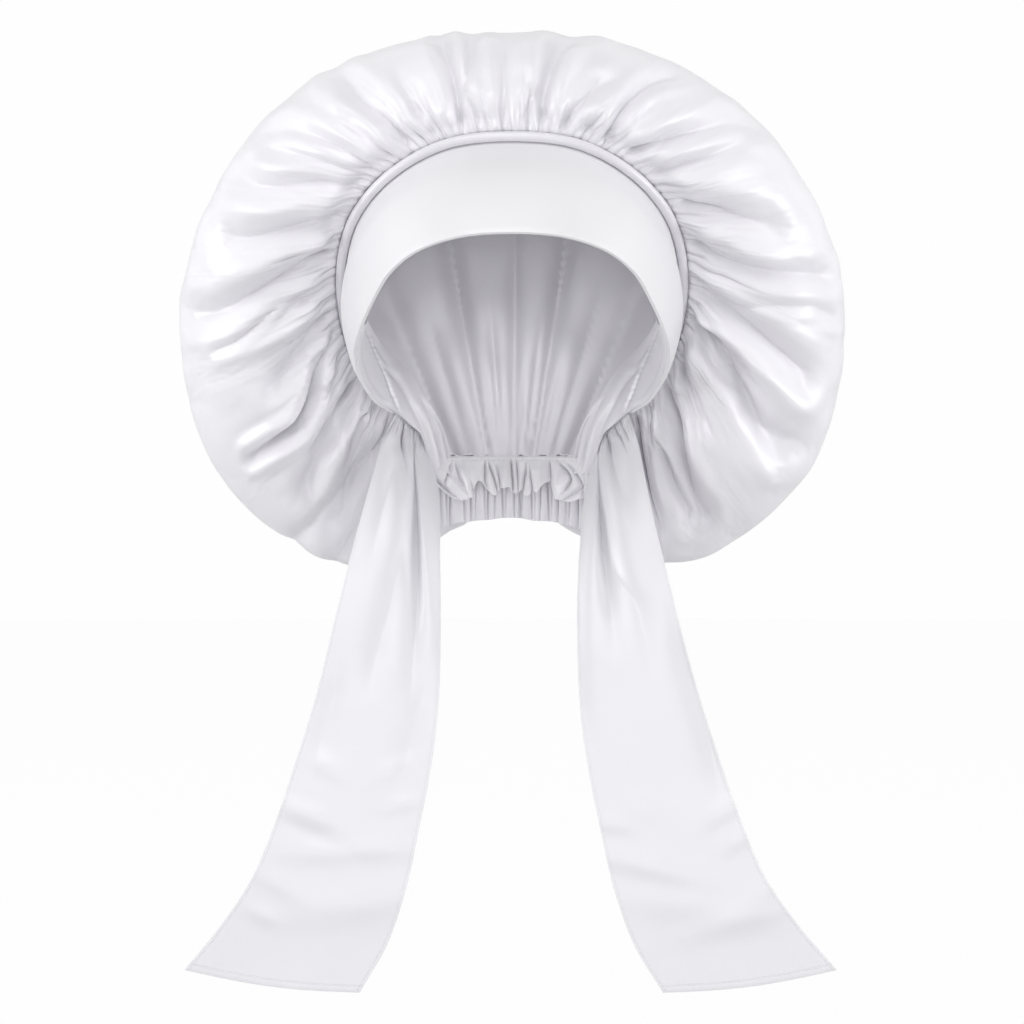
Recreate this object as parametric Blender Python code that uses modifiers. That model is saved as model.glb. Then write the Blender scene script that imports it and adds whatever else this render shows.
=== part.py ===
"""Sleep bonnet: a gathered satin crown on a wide front band, with two long ties.

The frame stands upright as worn: +Z up, the face looks along -Y, +X is the
wearer's left.  The origin is the middle of the head opening, where the head sits.
Tables hold millimetres and degrees.  A clock angle is measured round the crown's
axis, which runs along Y: 0 is straight up and 180 is the nape.
"""
import math

import bmesh
import bpy
import numpy as np

MM = 0.001

# Cloth and seams
CLOTH = 1.6
BAND_CLOTH = 2.0
PIPING_RADIUS = 2.5
SEAM_GAP = 0.3

# Front band: how far its middle bows out where it is this wide or wider
BAND_BOW = 3.0
BAND_BOW_WIDTH = 60.0

# Crown: height of its axis, its rearmost point and how far the cloth there faces up
CROWN_AXIS_HEIGHT = 16.5
CROWN_BACK = (0.0, 168.0, 88.0)
CROWN_BACK_TILT = 38.0
CROWN_BACK_DEPTH = 176.0
CROWN_BACK_FULLNESS = 0.62
CROWN_BACK_FLATNESS = 0.58
QUARTER_ROUND = 0.55
SIDEWAYS_PULL = 2.5

# Gathers: where the folds reach full depth, how much they flatten, and the puff between them
FOLD_RISE_END = 0.22
FOLD_FLATTEN = 0.6
FOLD_FLATTEN_FROM = 0.35
FOLD_FADE_FROM = 0.45
RIDGE_PUFF = 2.0
RIDGE_PUFF_FROM = 0.5
RIDGE_PUFF_END = 1.3

# Nape: stitch line on the round of the head, casing and ruffle that hang from it
NAPE_HEIGHT = -69.5
NAPE_HALF_WIDTH = 42.0
NAPE_DEPTH = 96.0
NAPE_ROUND = 4.8
NAPE_STATIONS = 6
CASING_DROP = 19.0
CASING_WAVES = 11
CASING_WAVE = 1.6
RUFFLE_DROP = 35.0
RUFFLE_SIDE_DROP = 8.0
RUFFLE_FLARE = 9.0
RUFFLE_FLARE_POWER = 1.5
RUFFLE_WAVES = 11
RUFFLE_WAVE = 2.2

# Where one layer lies on the next: each distance is between the middles of two sheets
FACING_TUCK = 1.0
FACING_INSIDE = BAND_CLOTH / 2 + CLOTH / 2 + 1.4 * SEAM_GAP
NAPE_LAYER = CLOTH + SEAM_GAP
TIE_LAYER = CLOTH + 4 * SEAM_GAP
NAPE_RIM_LAYERS = 1.5 * CLOTH + 5 * SEAM_GAP
TIE_RIM_LAYERS = 1.5 * CLOTH + 8 * SEAM_GAP
PIPING_CLEARANCE = PIPING_RADIUS + 2.2 * SEAM_GAP

# Front edge of the band, from the middle of the forehead to the tie: across, depth, height
FRONT_EDGE = (
    (0.0, -96.0, 46.0),
    (28.0, -93.0, 44.0),
    (53.0, -79.0, 36.0),
    (65.0, -66.0, 27.0),
    (74.0, -50.0, 14.0),
    (81.0, -33.0, 1.0),
    (85.0, -16.0, -9.0),
    (86.0, 0.0, -15.0),
    (84.5, 19.0, -25.0),
    (81.0, 34.0, -32.0),
    (76.5, 46.0, -38.0),
    (68.0, 60.0, -43.0),
)

# Seam between band and crown, where the piping lies, with the same stations
BACK_SEAM = (
    (0.0, -54.0, 101.0),
    (36.0, -50.0, 97.0),
    (66.0, -36.0, 82.0),
    (85.0, -16.0, 62.5),
    (93.5, 6.0, 41.0),
    (95.0, 25.0, 20.0),
    (92.5, 41.0, 2.0),
    (89.5, 50.0, -9.0),
    (84.0, 57.0, -20.0),
    (77.0, 63.0, -29.0),
    (70.5, 67.0, -37.0),
    (66.0, 69.5, -42.5),
)

# Seam that holds the tie, from the band's tip down to the nape: across, depth, height
TIE_SEAM = (
    (64.0, 65.0, -44.5),
    (57.0, 75.0, -51.0),
    (51.5, 80.5, -56.0),
    (48.0, 85.0, -62.0),
    (46.0, 88.0, -69.0),
)

# Back edge of the side facing, from its upper tip down to the nape: across, depth, height
FACING_BACK = (
    (78.5, -16.0, 7.0),
    (80.0, 8.0, 6.0),
    (79.0, 30.0, 3.0),
    (75.0, 51.0, -3.0),
    (69.0, 62.0, -10.0),
    (62.0, 72.0, -17.0),
    (57.0, 78.0, -23.0),
    (53.0, 82.0, -30.0),
    (48.0, 87.0, -39.0),
    (44.5, 90.0, -48.0),
    (42.0, 92.0, -57.0),
    (39.5, 93.0, -69.0),
)

# Crown: clock angle, lean of the cloth off the seam, widest radius, depth of the widest ring
CROWN_ROWS = (
    (0.0, -8.0, 146.0, 6.0),
    (20.0, -8.0, 152.5, 10.0),
    (40.0, -6.0, 165.5, 22.0),
    (60.0, -4.0, 177.0, 39.0),
    (80.0, -2.0, 186.0, 58.0),
    (100.0, 0.0, 192.0, 77.0),
    (120.0, 4.0, 194.0, 92.0),
    (135.0, 16.0, 187.0, 102.0),
    (148.0, 42.0, 173.0, 108.0),
    (160.0, 62.0, 143.0, 118.0),
    (170.0, 76.0, 120.0, 130.0),
    (180.0, 82.0, 112.0, 136.0),
)

# Main folds of the crown: clock angle at the seam, at the widest ring, depth, share they reach
CROWN_FOLDS = (
    (-173.0, -173.0, 4.5, 2.0),
    (-166.0, -166.0, 5.0, 1.7),
    (-159.0, -159.5, 5.0, 2.0),
    (-151.5, -154.0, 4.5, 1.3),
    (-140.0, -148.0, 5.5, 1.2),
    (-127.0, -140.5, 7.0, 1.5),
    (-114.0, -129.0, 6.0, 1.4),
    (-103.0, -120.0, 6.5, 1.5),
    (-95.0, -108.0, 5.0, 0.7),
    (-84.0, -97.0, 7.0, 1.5),
    (-74.0, -87.0, 6.0, 1.3),
    (-63.0, -76.0, 6.5, 1.5),
    (-54.0, -66.0, 5.0, 0.7),
    (-46.0, -56.5, 6.0, 1.4),
    (-36.0, -41.5, 6.5, 1.5),
    (-26.0, -30.0, 5.0, 0.7),
    (-17.0, -16.5, 6.0, 1.3),
    (-8.5, -10.0, 5.5, 1.3),
    (0.0, -1.0, 5.0, 1.2),
    (9.5, 8.0, 6.5, 1.5),
    (18.0, 22.0, 5.0, 1.2),
    (26.0, 31.0, 6.0, 1.4),
    (34.0, 41.0, 5.0, 0.7),
    (42.0, 50.0, 6.5, 1.5),
    (52.0, 61.0, 5.5, 1.1),
    (61.0, 72.0, 6.0, 1.4),
    (72.0, 84.0, 7.0, 1.5),
    (83.0, 98.0, 6.0, 1.4),
    (94.0, 114.0, 7.0, 1.5),
    (107.0, 130.0, 6.0, 1.4),
    (119.0, 139.0, 6.5, 1.4),
    (133.0, 147.0, 5.5, 1.2),
    (145.0, 151.5, 5.0, 1.3),
    (152.5, 156.5, 4.5, 2.0),
    (159.5, 161.5, 5.0, 1.7),
    (166.5, 167.0, 4.5, 2.0),
    (173.5, 173.5, 5.0, 1.7),
)

# Tie, seam to hem: outer edge (across, depth, height), inner edge, depth of its pleats,
# and how much nearer the middle the right tie's outer and inner edges hang
TIE_ROWS = (
    (66.5, 66.0, -46.0, 47.0, 89.0, -70.5, 0.0, 0.0, 0.0),
    (73.0, 61.0, -59.5, 43.0, 80.0, -84.5, 2.4, 2.0, 0.0),
    (79.5, 55.0, -82.0, 41.5, 68.0, -99.0, 3.6, 4.0, 1.0),
    (85.5, 49.0, -104.5, 41.0, 57.0, -116.0, 3.8, 5.5, 2.0),
    (92.0, 43.0, -130.0, 40.5, 47.0, -136.0, 3.6, 6.0, 3.2),
    (100.0, 34.0, -163.5, 40.0, 36.0, -167.0, 3.0, 6.0, 3.4),
    (110.0, 25.0, -205.0, 41.0, 26.0, -208.0, 2.2, 5.0, 3.0),
    (120.0, 18.0, -238.0, 45.0, 18.0, -242.0, 1.6, 4.5, 2.8),
    (130.5, 12.0, -270.5, 51.5, 12.0, -276.0, 1.2, 4.0, 2.5),
    (144.0, 8.0, -303.0, 59.0, 8.0, -310.0, 0.9, 3.5, 2.2),
    (160.5, 6.0, -328.0, 69.0, 6.0, -339.0, 0.6, 2.5, 1.6),
    (180.5, 4.0, -352.5, 84.0, 4.0, -365.0, 0.4, 1.5, 0.8),
)
TIE_PLEATS = 3.0
TIE_SEAM_SHARE = 0.15
TIE_HEM_SAG = 3.0
TIE_HEM_SAG_POWER = 6
TIE_WAVE = 2.0
TIE_WAVE_LENGTH = 82.0
TIE_WAVE_START = -215.0
TIE_WAVE_FULL = -275.0

# Divisions along and across each sheet; the crown's columns thin out toward the back
FOLD_STEPS = 4
CROWN_STEPS = (0.0, 0.05, 0.13, 0.23, 0.35, 0.49, 0.65, 0.82, 1.0, 1.18, 1.36, 1.54, 1.72, 1.88, 2.0)
TWO_PER_FOLD_FROM = 1.1
ONE_PER_FOLD_FROM = 1.6
RIM_READINGS = 25
BAND_GRID = (42, 3)
FACING_GRID = (24, 3)
NAPE_GRID = (44, 3)
TIE_GRID = (12, 15)
PIPING_POINTS = 43
SMALL_STEP = 0.01
WELD_DISTANCE = 0.00002

COLOURS = {
    "crown": (0.80, 0.79, 0.82),
    "front_band": (0.88, 0.88, 0.90),
    "piping": (0.82, 0.81, 0.84),
    "side_facing": (0.74, 0.73, 0.76),
    "nape_casing": (0.68, 0.67, 0.70),
    "nape_ruffle": (0.62, 0.61, 0.64),
    "tie": (0.84, 0.84, 0.86),
}
SATIN_ROUGHNESS = 0.35


def clear_scene():
    for obj in list(bpy.data.objects):
        bpy.data.objects.remove(obj, do_unlink=True)


def satin(name, colour):
    """One satin material for a piece."""
    material = bpy.data.materials.new(name)
    material.use_nodes = True
    shader = material.node_tree.nodes["Principled BSDF"]
    shader.inputs["Base Color"].default_value = (*colour, 1.0)
    shader.inputs["Roughness"].default_value = SATIN_ROUGHNESS
    shader.inputs["Metallic"].default_value = 0.0
    return material


def smooth_curve(rows, share, first_row=0):
    """Point at a share 0 to 1 of the way from the first row given to the last, on a smooth curve."""
    points = np.array(rows, dtype=float)
    steps = np.linalg.norm(np.diff(points, axis=0), axis=1)
    knots = np.concatenate(([0.0], np.cumsum(steps)))
    slopes = np.gradient(points, knots, axis=0)
    place = knots[first_row] + min(max(share, 0.0), 1.0) * (knots[-1] - knots[first_row])
    i = min(int(np.searchsorted(knots, place, side="right")) - 1, len(steps) - 1)
    span = steps[i]
    t = (place - knots[i]) / span
    start = (1 + 2 * t) * (1 - t) ** 2
    end = t * t * (3 - 2 * t)
    start_slope = t * (1 - t) ** 2 * span
    end_slope = t * t * (t - 1) * span
    return (start * points[i] + end * points[i + 1]
            + start_slope * slopes[i] + end_slope * slopes[i + 1])


def both_sides(rows):
    """Mirror a half path that starts at the middle into one that runs left to right."""
    left = [(-x, *rest) for x, *rest in rows[:0:-1]]
    return left + [tuple(row) for row in rows]


def unit(vector):
    return vector / np.linalg.norm(vector)


def ease(low, high, value):
    """Smooth step from 0 at low to 1 at high."""
    t = min(max((value - low) / (high - low), 0.0), 1.0)
    return t * t * (3 - 2 * t)


def polar(point):
    """Clock angle, radius and depth of a point about the crown's axis."""
    rise = point[2] - CROWN_AXIS_HEIGHT
    return math.degrees(math.atan2(point[0], rise)), math.hypot(point[0], rise), point[1]


def from_polar(clock, radius, depth):
    angle = math.radians(clock)
    return np.array((radius * math.sin(angle), depth, CROWN_AXIS_HEIGHT + radius * math.cos(angle)))


def head_outward(point):
    """Level direction away from the middle of the head."""
    return unit(np.array((point[0], point[1], 0.0)))


def nape_rows():
    """Stitch line of the nape, from the side to the middle, on the round of the head."""
    rows = []
    for i in range(NAPE_STATIONS):
        share = 1.0 - i / (NAPE_STATIONS - 1)
        rows.append((NAPE_HALF_WIDTH * share, NAPE_DEPTH - NAPE_ROUND * share ** 2, NAPE_HEIGHT))
    return rows


def facing_front():
    """Front edge of the side facing: inside the band's front edge, then along the tie seam."""
    tucked = []
    band_rows = FRONT_EDGE[len(TIE_SEAM) - len(FACING_BACK):]
    for front, back in zip(band_rows, FACING_BACK):
        point = np.array(front)
        inward = head_outward(point) * -FACING_INSIDE
        tucked.append(tuple(point + inward + unit(np.array(back) - point) * FACING_TUCK))
    return tucked + list(TIE_SEAM)


def crown_rim_table():
    """Clock angle, radius and depth of the crown's open edge, for the right half."""
    table = []
    seam = both_sides(BACK_SEAM)
    for i in range(RIM_READINGS):
        clock, radius, depth = polar(smooth_curve(seam, 0.5 + 0.5 * i / (RIM_READINGS - 1)))
        table.append((clock, radius + PIPING_CLEARANCE, depth))
    for rows, layers in ((TIE_SEAM[1:], TIE_RIM_LAYERS), (nape_rows(), NAPE_RIM_LAYERS)):
        for row in rows:
            point = np.array(row)
            clock, radius, depth = polar(point + head_outward(point) * layers)
            table.append((abs(clock), radius, depth))
    table[-1] = (180.0, *table[-1][1:])
    return np.array(table)


def table_at(table, clock):
    """Row of a clock table at any clock angle, by a smooth curve even about 0 and 180."""
    clock = abs((clock + 180.0) % 360.0 - 180.0)
    rows = np.array(table, dtype=float)
    before = rows[2:0:-1].copy()
    before[:, 0] = -before[:, 0]
    after = rows[-2:-4:-1].copy()
    after[:, 0] = 360.0 - after[:, 0]
    rows = np.vstack((before, rows, after))
    knots = rows[:, 0]
    slopes = np.gradient(rows[:, 1:], knots, axis=0)
    i = min(max(int(np.searchsorted(knots, clock, side="right")) - 1, 0), len(knots) - 2)
    span = knots[i + 1] - knots[i]
    t = (clock - knots[i]) / span
    return ((1 + 2 * t) * (1 - t) ** 2 * rows[i, 1:] + t * t * (3 - 2 * t) * rows[i + 1, 1:]
            + t * (1 - t) ** 2 * span * slopes[i] + t * t * (t - 1) * span * slopes[i + 1])


def bezier(a, b, c, d, t):
    return a * (1 - t) ** 3 + 3 * b * t * (1 - t) ** 2 + 3 * c * t * t * (1 - t) + d * t ** 3


def fold_row(place):
    """Fold table read at a fractional fold number, going round without a break."""
    count = len(CROWN_FOLDS)
    first = math.floor(place)
    share = place - first
    low = np.array(CROWN_FOLDS[first % count])
    high = np.array(CROWN_FOLDS[(first + 1) % count])
    low[:2] += 360.0 * (first // count)
    high[:2] += 360.0 * ((first + 1) // count)
    return low, high, share


def crown_base(rim_table, place, step):
    """Point of the smooth crown at a fold place; step 0 is the seam, 1 the widest ring, 2 the back."""
    low, high, share = fold_row(place)
    rim_clock, wide_clock = low[:2] + (high[:2] - low[:2]) * share
    rim_radius, rim_depth = table_at(rim_table, rim_clock)
    lean, wide_radius, wide_depth = table_at(CROWN_ROWS, wide_clock)
    if step <= 1.0:
        lean = math.radians(lean)
        start = np.array((rim_radius, rim_depth))
        end = np.array((wide_radius, wide_depth))
        reach = QUARTER_ROUND * (wide_radius - rim_radius)
        leave = start + reach * np.array((math.cos(lean), math.sin(lean)))
        arrive = end - np.array((0.0, QUARTER_ROUND * (wide_depth - rim_depth)))
        radius, depth = bezier(start, leave, arrive, end, step)
        spread = min(max((radius - rim_radius) / (wide_radius - rim_radius), 0.0), 1.0)
        clock = rim_clock + (wide_clock - rim_clock) * (1 - (1 - spread) ** SIDEWAYS_PULL)
        return from_polar(clock, radius, depth)
    start = from_polar(wide_clock, wide_radius, wide_depth)
    back = np.array(CROWN_BACK)
    tilt = math.radians(CROWN_BACK_TILT)
    back_normal = np.array((0.0, math.cos(tilt), math.sin(tilt)))
    toward = start - back
    toward -= back_normal * toward.dot(back_normal)
    leave = start + np.array((0.0, CROWN_BACK_FULLNESS * (CROWN_BACK_DEPTH - wide_depth), 0.0))
    arrive = back + toward * CROWN_BACK_FLATNESS
    return bezier(start, leave, arrive, back, step - 1.0)


def fold_height(place, step):
    """How far the cloth stands off the smooth crown: round ridges between creased valleys."""
    low, high, share = fold_row(place)
    rise = ease(0.0, FOLD_RISE_END, step)
    flatten = 1.0 - FOLD_FLATTEN * ease(FOLD_FLATTEN_FROM, 1.0, step)
    height = RIDGE_PUFF * rise * (1.0 - ease(RIDGE_PUFF_FROM, RIDGE_PUFF_END, step))
    for (*_, depth, end), away in ((low, share), (high, 1.0 - share)):
        fade = 1.0 - ease(FOLD_FADE_FROM * end, end, step)
        valley = 0.5 + 0.5 * math.cos(2 * math.pi * min(away, 0.5))
        height -= depth * rise * flatten * fade * valley
    return height


def crown_point(rim_table, place, step):
    point = crown_base(rim_table, place, step)
    if step >= CROWN_STEPS[-1]:
        return point
    along = crown_base(rim_table, place, step + SMALL_STEP) - point
    around = crown_base(rim_table, place + SMALL_STEP, step) - point
    return point + unit(np.cross(along, around)) * fold_height(place, step)


def mapped_grid(name, divisions, place_at, wraps=False):
    """Grid mesh whose corners are placed by place_at(i, j), welded where they meet."""
    bpy.ops.mesh.primitive_grid_add(x_subdivisions=divisions[0], y_subdivisions=divisions[1], size=2.0)
    obj = bpy.context.object
    obj.name = name
    obj.data.name = name
    for vertex in obj.data.vertices:
        i = round((vertex.co.x + 1.0) / 2.0 * divisions[0])
        j = round((vertex.co.y + 1.0) / 2.0 * divisions[1])
        vertex.co = place_at(i % divisions[0] if wraps else i, j) * MM
    mesh = bmesh.new()
    mesh.from_mesh(obj.data)
    bmesh.ops.remove_doubles(mesh, verts=mesh.verts, dist=WELD_DISTANCE)
    bmesh.ops.recalc_face_normals(mesh, faces=mesh.faces)
    mesh.to_mesh(obj.data)
    mesh.free()
    return obj


def finish(obj, collection, colour_name, thickness=None):
    """Thicken a sheet, give it its satin, and put it in the bonnet's collection."""
    if thickness:
        wall = obj.modifiers.new("wall", "SOLIDIFY")
        wall.thickness = thickness * MM
        wall.offset = 0.0
        wall.use_even_offset = False
    for owner in list(obj.users_collection):
        owner.objects.unlink(obj)
    collection.objects.link(obj)
    obj.data.materials.clear()
    obj.data.materials.append(satin(obj.name + "_satin", COLOURS[colour_name]))
    return obj


def make_crown(collection):
    rim_table = crown_rim_table()
    columns = len(CROWN_FOLDS) * FOLD_STEPS

    def place_at(i, j):
        step = CROWN_STEPS[j]
        if step > ONE_PER_FOLD_FROM:
            i -= i % FOLD_STEPS
        elif step > TWO_PER_FOLD_FROM:
            i -= i % (FOLD_STEPS // 2)
        return crown_point(rim_table, i / FOLD_STEPS, step)

    crown = mapped_grid("crown", (columns, len(CROWN_STEPS) - 1), place_at, wraps=True)
    return finish(crown, collection, "crown", CLOTH)


def make_band(collection):
    front = both_sides(FRONT_EDGE)
    back = both_sides(BACK_SEAM)

    def place_at(i, j):
        share = i / BAND_GRID[0]
        a = smooth_curve(front, share)
        seam = smooth_curve(back, share)
        along = unit(smooth_curve(back, share + SMALL_STEP) - smooth_curve(back, share - SMALL_STEP))
        square = unit((a - seam) - along * (a - seam).dot(along))
        b = seam + square * (PIPING_RADIUS + SEAM_GAP)
        across = j / BAND_GRID[1]
        fullness = min(np.linalg.norm(b - a) / BAND_BOW_WIDTH, 1.0)
        swell = BAND_BOW * math.sin(math.pi * across) * fullness
        return a + (b - a) * across + unit(a + b) * swell

    band = mapped_grid("front_band", BAND_GRID, place_at)
    return finish(band, collection, "front_band", BAND_CLOTH)


def make_piping(collection):
    path = both_sides(BACK_SEAM)
    curve = bpy.data.curves.new("piping", "CURVE")
    curve.dimensions = "3D"
    curve.bevel_depth = PIPING_RADIUS * MM
    curve.bevel_resolution = 2
    curve.use_fill_caps = True
    spline = curve.splines.new("POLY")
    spline.points.add(PIPING_POINTS - 1)
    for i, point in enumerate(spline.points):
        point.co = (*(smooth_curve(path, i / (PIPING_POINTS - 1)) * MM), 1.0)
    obj = bpy.data.objects.new("piping", curve)
    bpy.context.scene.collection.objects.link(obj)
    return finish(obj, collection, "piping")


def make_facing(collection, name, side):
    """Inner side panel, tucked just inside the band's front edge and lying on the head."""
    front = facing_front()

    def place_at(i, j):
        share = i / FACING_GRID[0]
        a = smooth_curve(front, share)
        b = smooth_curve(FACING_BACK, share)
        point = a + (b - a) * j / FACING_GRID[1]
        return np.array((side * point[0], point[1], point[2]))

    facing = mapped_grid(name, FACING_GRID, place_at)
    return finish(facing, collection, "side_facing", CLOTH)


def make_nape_strip(collection, name, layer, drop, side_drop, flare, waves, wave):
    """Gathered strip that hangs from the nape's stitch line and ripples at its free edge."""
    path = both_sides(nape_rows()[::-1])

    def place_at(i, j):
        share = i / NAPE_GRID[0]
        down = j / NAPE_GRID[1]
        point = smooth_curve(path, share)
        ripple = wave * down * math.sin(2 * math.pi * waves * share)
        out = layer * NAPE_LAYER + flare * down ** RUFFLE_FLARE_POWER + ripple
        fall = drop + side_drop * (2 * share - 1) ** 2
        return point + head_outward(point) * out - np.array((0.0, 0.0, fall * down))

    strip = mapped_grid(name, NAPE_GRID, place_at)
    return finish(strip, collection, name, CLOTH)


def make_tie(collection, name, side):
    """Flat strip gathered to the tie seam, spreading to its full width at the hem."""
    rows = np.array(TIE_ROWS)
    if side > 0:
        rows[:, 0] -= rows[:, 7]
        rows[:, 3] -= rows[:, 8]
    straight_top = rows[0]

    def place_at(i, j):
        across = i / TIE_GRID[0]
        share = j / TIE_GRID[1]
        outer = smooth_curve(rows[:, :3], share)
        inner = smooth_curve(rows[:, 3:6], share)
        depth = smooth_curve(np.column_stack((rows[:, :3], rows[:, 6])), share)[3]
        point = outer + (inner - outer) * across
        seam = smooth_curve(facing_front(), across, len(FACING_BACK) - len(TIE_SEAM))
        seam = seam + head_outward(seam) * TIE_LAYER
        straight = straight_top[:3] + (straight_top[3:6] - straight_top[:3]) * across
        point = point + (seam - straight) * (1.0 - ease(0.0, TIE_SEAM_SHARE, share))
        point[2] -= TIE_HEM_SAG * share ** TIE_HEM_SAG_POWER * math.sin(math.pi * across)
        lower = ease(-TIE_WAVE_START, -TIE_WAVE_FULL, -point[2])
        wave = TIE_WAVE * lower * math.sin(2 * math.pi * point[2] / TIE_WAVE_LENGTH)
        point[1] -= depth * math.cos(2 * math.pi * TIE_PLEATS * across) + wave
        return np.array((side * point[0], point[1], point[2]))

    tie = mapped_grid(name, TIE_GRID, place_at)
    return finish(tie, collection, "tie", CLOTH)


def main():
    clear_scene()
    bonnet = bpy.data.collections.new("sleep_bonnet")
    bpy.context.scene.collection.children.link(bonnet)
    make_crown(bonnet)
    make_band(bonnet)
    make_piping(bonnet)
    make_facing(bonnet, "side_facing_left", -1)
    make_facing(bonnet, "side_facing_right", 1)
    make_nape_strip(bonnet, "nape_casing", 0, CASING_DROP, 0.0, 0.0, CASING_WAVES, CASING_WAVE)
    make_nape_strip(bonnet, "nape_ruffle", 1, RUFFLE_DROP, RUFFLE_SIDE_DROP, RUFFLE_FLARE,
                    RUFFLE_WAVES, RUFFLE_WAVE)
    make_tie(bonnet, "tie_left", -1)
    make_tie(bonnet, "tie_right", 1)


main()
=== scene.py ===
"""Sleep bonnet in white satin: gathered crown, smooth front band with a piped seam,
side facings, elastic nape with a gathered casing and a ruffle, and two long hemmed ties.

Lengths in the tables are millimetres and angles are degrees, in the frame of the
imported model: +Z up, the face looks along -Y, the origin is the head's seat.
A clock angle goes round the crown's axis: 0 is straight up and 180 is the nape.
"""
import math

import bmesh
import bpy
import numpy as np
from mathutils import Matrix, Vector, noise


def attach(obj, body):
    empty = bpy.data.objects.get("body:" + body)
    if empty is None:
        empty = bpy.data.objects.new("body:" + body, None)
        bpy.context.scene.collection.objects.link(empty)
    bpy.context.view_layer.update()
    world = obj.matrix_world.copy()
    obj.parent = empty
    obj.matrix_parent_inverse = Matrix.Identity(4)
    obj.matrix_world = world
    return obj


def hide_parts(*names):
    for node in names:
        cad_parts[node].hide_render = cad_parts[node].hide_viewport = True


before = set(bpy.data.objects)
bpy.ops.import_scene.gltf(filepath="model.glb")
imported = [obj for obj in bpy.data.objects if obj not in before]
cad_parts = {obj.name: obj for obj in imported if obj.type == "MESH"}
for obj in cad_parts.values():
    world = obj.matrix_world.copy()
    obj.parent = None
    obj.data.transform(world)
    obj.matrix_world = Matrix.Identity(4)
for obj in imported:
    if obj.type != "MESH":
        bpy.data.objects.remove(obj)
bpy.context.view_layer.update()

MM = 0.001
BODY = "root"
NO_LENGTH = 1e-9
SMALL_SHARE = 0.01
JOINED_WITHIN = 2e-6
EDGE_ANGLE = 50.0

# Sizes of the bonnet, as cut and sewn
CLOTH = 1.0
BAND_CLOTH = 2.0
PIPING_RADIUS = 2.5
PIPING_ROUND = 2.75
PIPING_SINK = 3.9
BAND_UNDER_PIPING = 3.4
CAD_CLOTH = 1.6
SEAM_GAP = 0.3
BAND_BOW = 3.0
BAND_BOW_WIDTH = 60.0
CROWN_AXIS_HEIGHT = 16.5
CROWN_BACK = (0.0, 168.0, 88.0)
CROWN_BACK_TILT = 38.0
CROWN_BACK_DEPTH = 176.0
CROWN_BACK_FULLNESS = 0.62
CROWN_BACK_FLATNESS = 0.58
QUARTER_ROUND = 0.55
SIDEWAYS_PULL = 2.5
NAPE_HEIGHT = -69.5
NAPE_HALF_WIDTH = 42.0
NAPE_DEPTH = 96.0
NAPE_ROUND = 4.8
NAPE_STATIONS = 6
RIM_STATIONS = 25
NAPE_LAYER = CAD_CLOTH + SEAM_GAP
FACING_TUCK = 0.3
FACING_INSIDE = BAND_CLOTH / 2 + 0.6
TIE_LAYER = CAD_CLOTH + 4 * SEAM_GAP
NAPE_RIM_LAYERS = 1.5 * CAD_CLOTH + 5 * SEAM_GAP
TIE_RIM_LAYERS = 1.5 * CAD_CLOTH + 8 * SEAM_GAP
PIPING_CLEARANCE = PIPING_RADIUS + 2.2 * SEAM_GAP

# Front edge of the band, from the middle of the forehead to the tie: across, depth, height
FRONT_EDGE = (
    (0, -96, 46), (28, -93, 44), (53, -79, 36), (65, -66, 27), (74, -50, 14), (81, -33, 1), (85, -16, -9),
    (86, 0, -15), (84.5, 19, -25), (81, 34, -32), (76.5, 46, -38), (68, 60, -43),
)
# Seam between band and crown, where the piping lies
BACK_SEAM = (
    (0, -54, 101), (36, -50, 97), (66, -36, 82), (85, -16, 62.5), (93.5, 6, 41), (95, 25, 20),
    (92.5, 41, 2), (89.5, 50, -9), (84, 57, -20), (77, 63, -29), (70.5, 67, -37), (66, 69.5, -42.5),
)
# Seam that holds the tie, from the band's tip down to the nape
TIE_SEAM = ((64, 65, -44.5), (57, 75, -51), (51.5, 80.5, -56), (48, 85, -62), (46, 88, -69))
# Back edge of the side facing, from its upper tip down to the nape
FACING_BACK = (
    (78.5, -16, 7), (80, 8, 6), (79, 30, 3), (75, 51, -3), (69, 62, -10), (62, 72, -17), (57, 78, -23),
    (53, 82, -30), (48, 87, -39), (44.5, 90, -48), (42, 92, -57), (39.5, 93, -69),
)
# Crown: clock angle, lean of the cloth off the seam, widest radius, depth of the widest ring
CROWN_ROWS = (
    (0, -8, 146, 6), (20, -8, 152.5, 10), (40, -6, 165.5, 22), (60, -4, 177, 39), (80, -2, 186, 58),
    (100, 0, 192, 77), (120, 4, 194, 92), (135, 16, 187, 102), (148, 42, 173, 108), (160, 62, 143, 118),
    (170, 76, 120, 130), (180, 82, 112, 136),
)
# Main folds of the crown: clock angle at the seam and at the widest ring
CROWN_FOLDS = (
    (-173, -173), (-166, -166), (-159, -159.5), (-151.5, -154), (-140, -148), (-127, -140.5), (-114, -129),
    (-103, -120), (-95, -108), (-84, -97), (-74, -87), (-63, -76), (-54, -66), (-46, -56.5), (-36, -41.5),
    (-26, -30), (-17, -16.5), (-8.5, -10), (0, -1), (9.5, 8), (18, 22), (26, 31), (34, 41), (42, 50),
    (52, 61), (61, 72), (72, 84), (83, 98), (94, 114), (107, 130), (119, 139), (133, 147), (145, 151.5),
    (152.5, 156.5), (159.5, 161.5), (166.5, 167), (173.5, 173.5),
)
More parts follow.
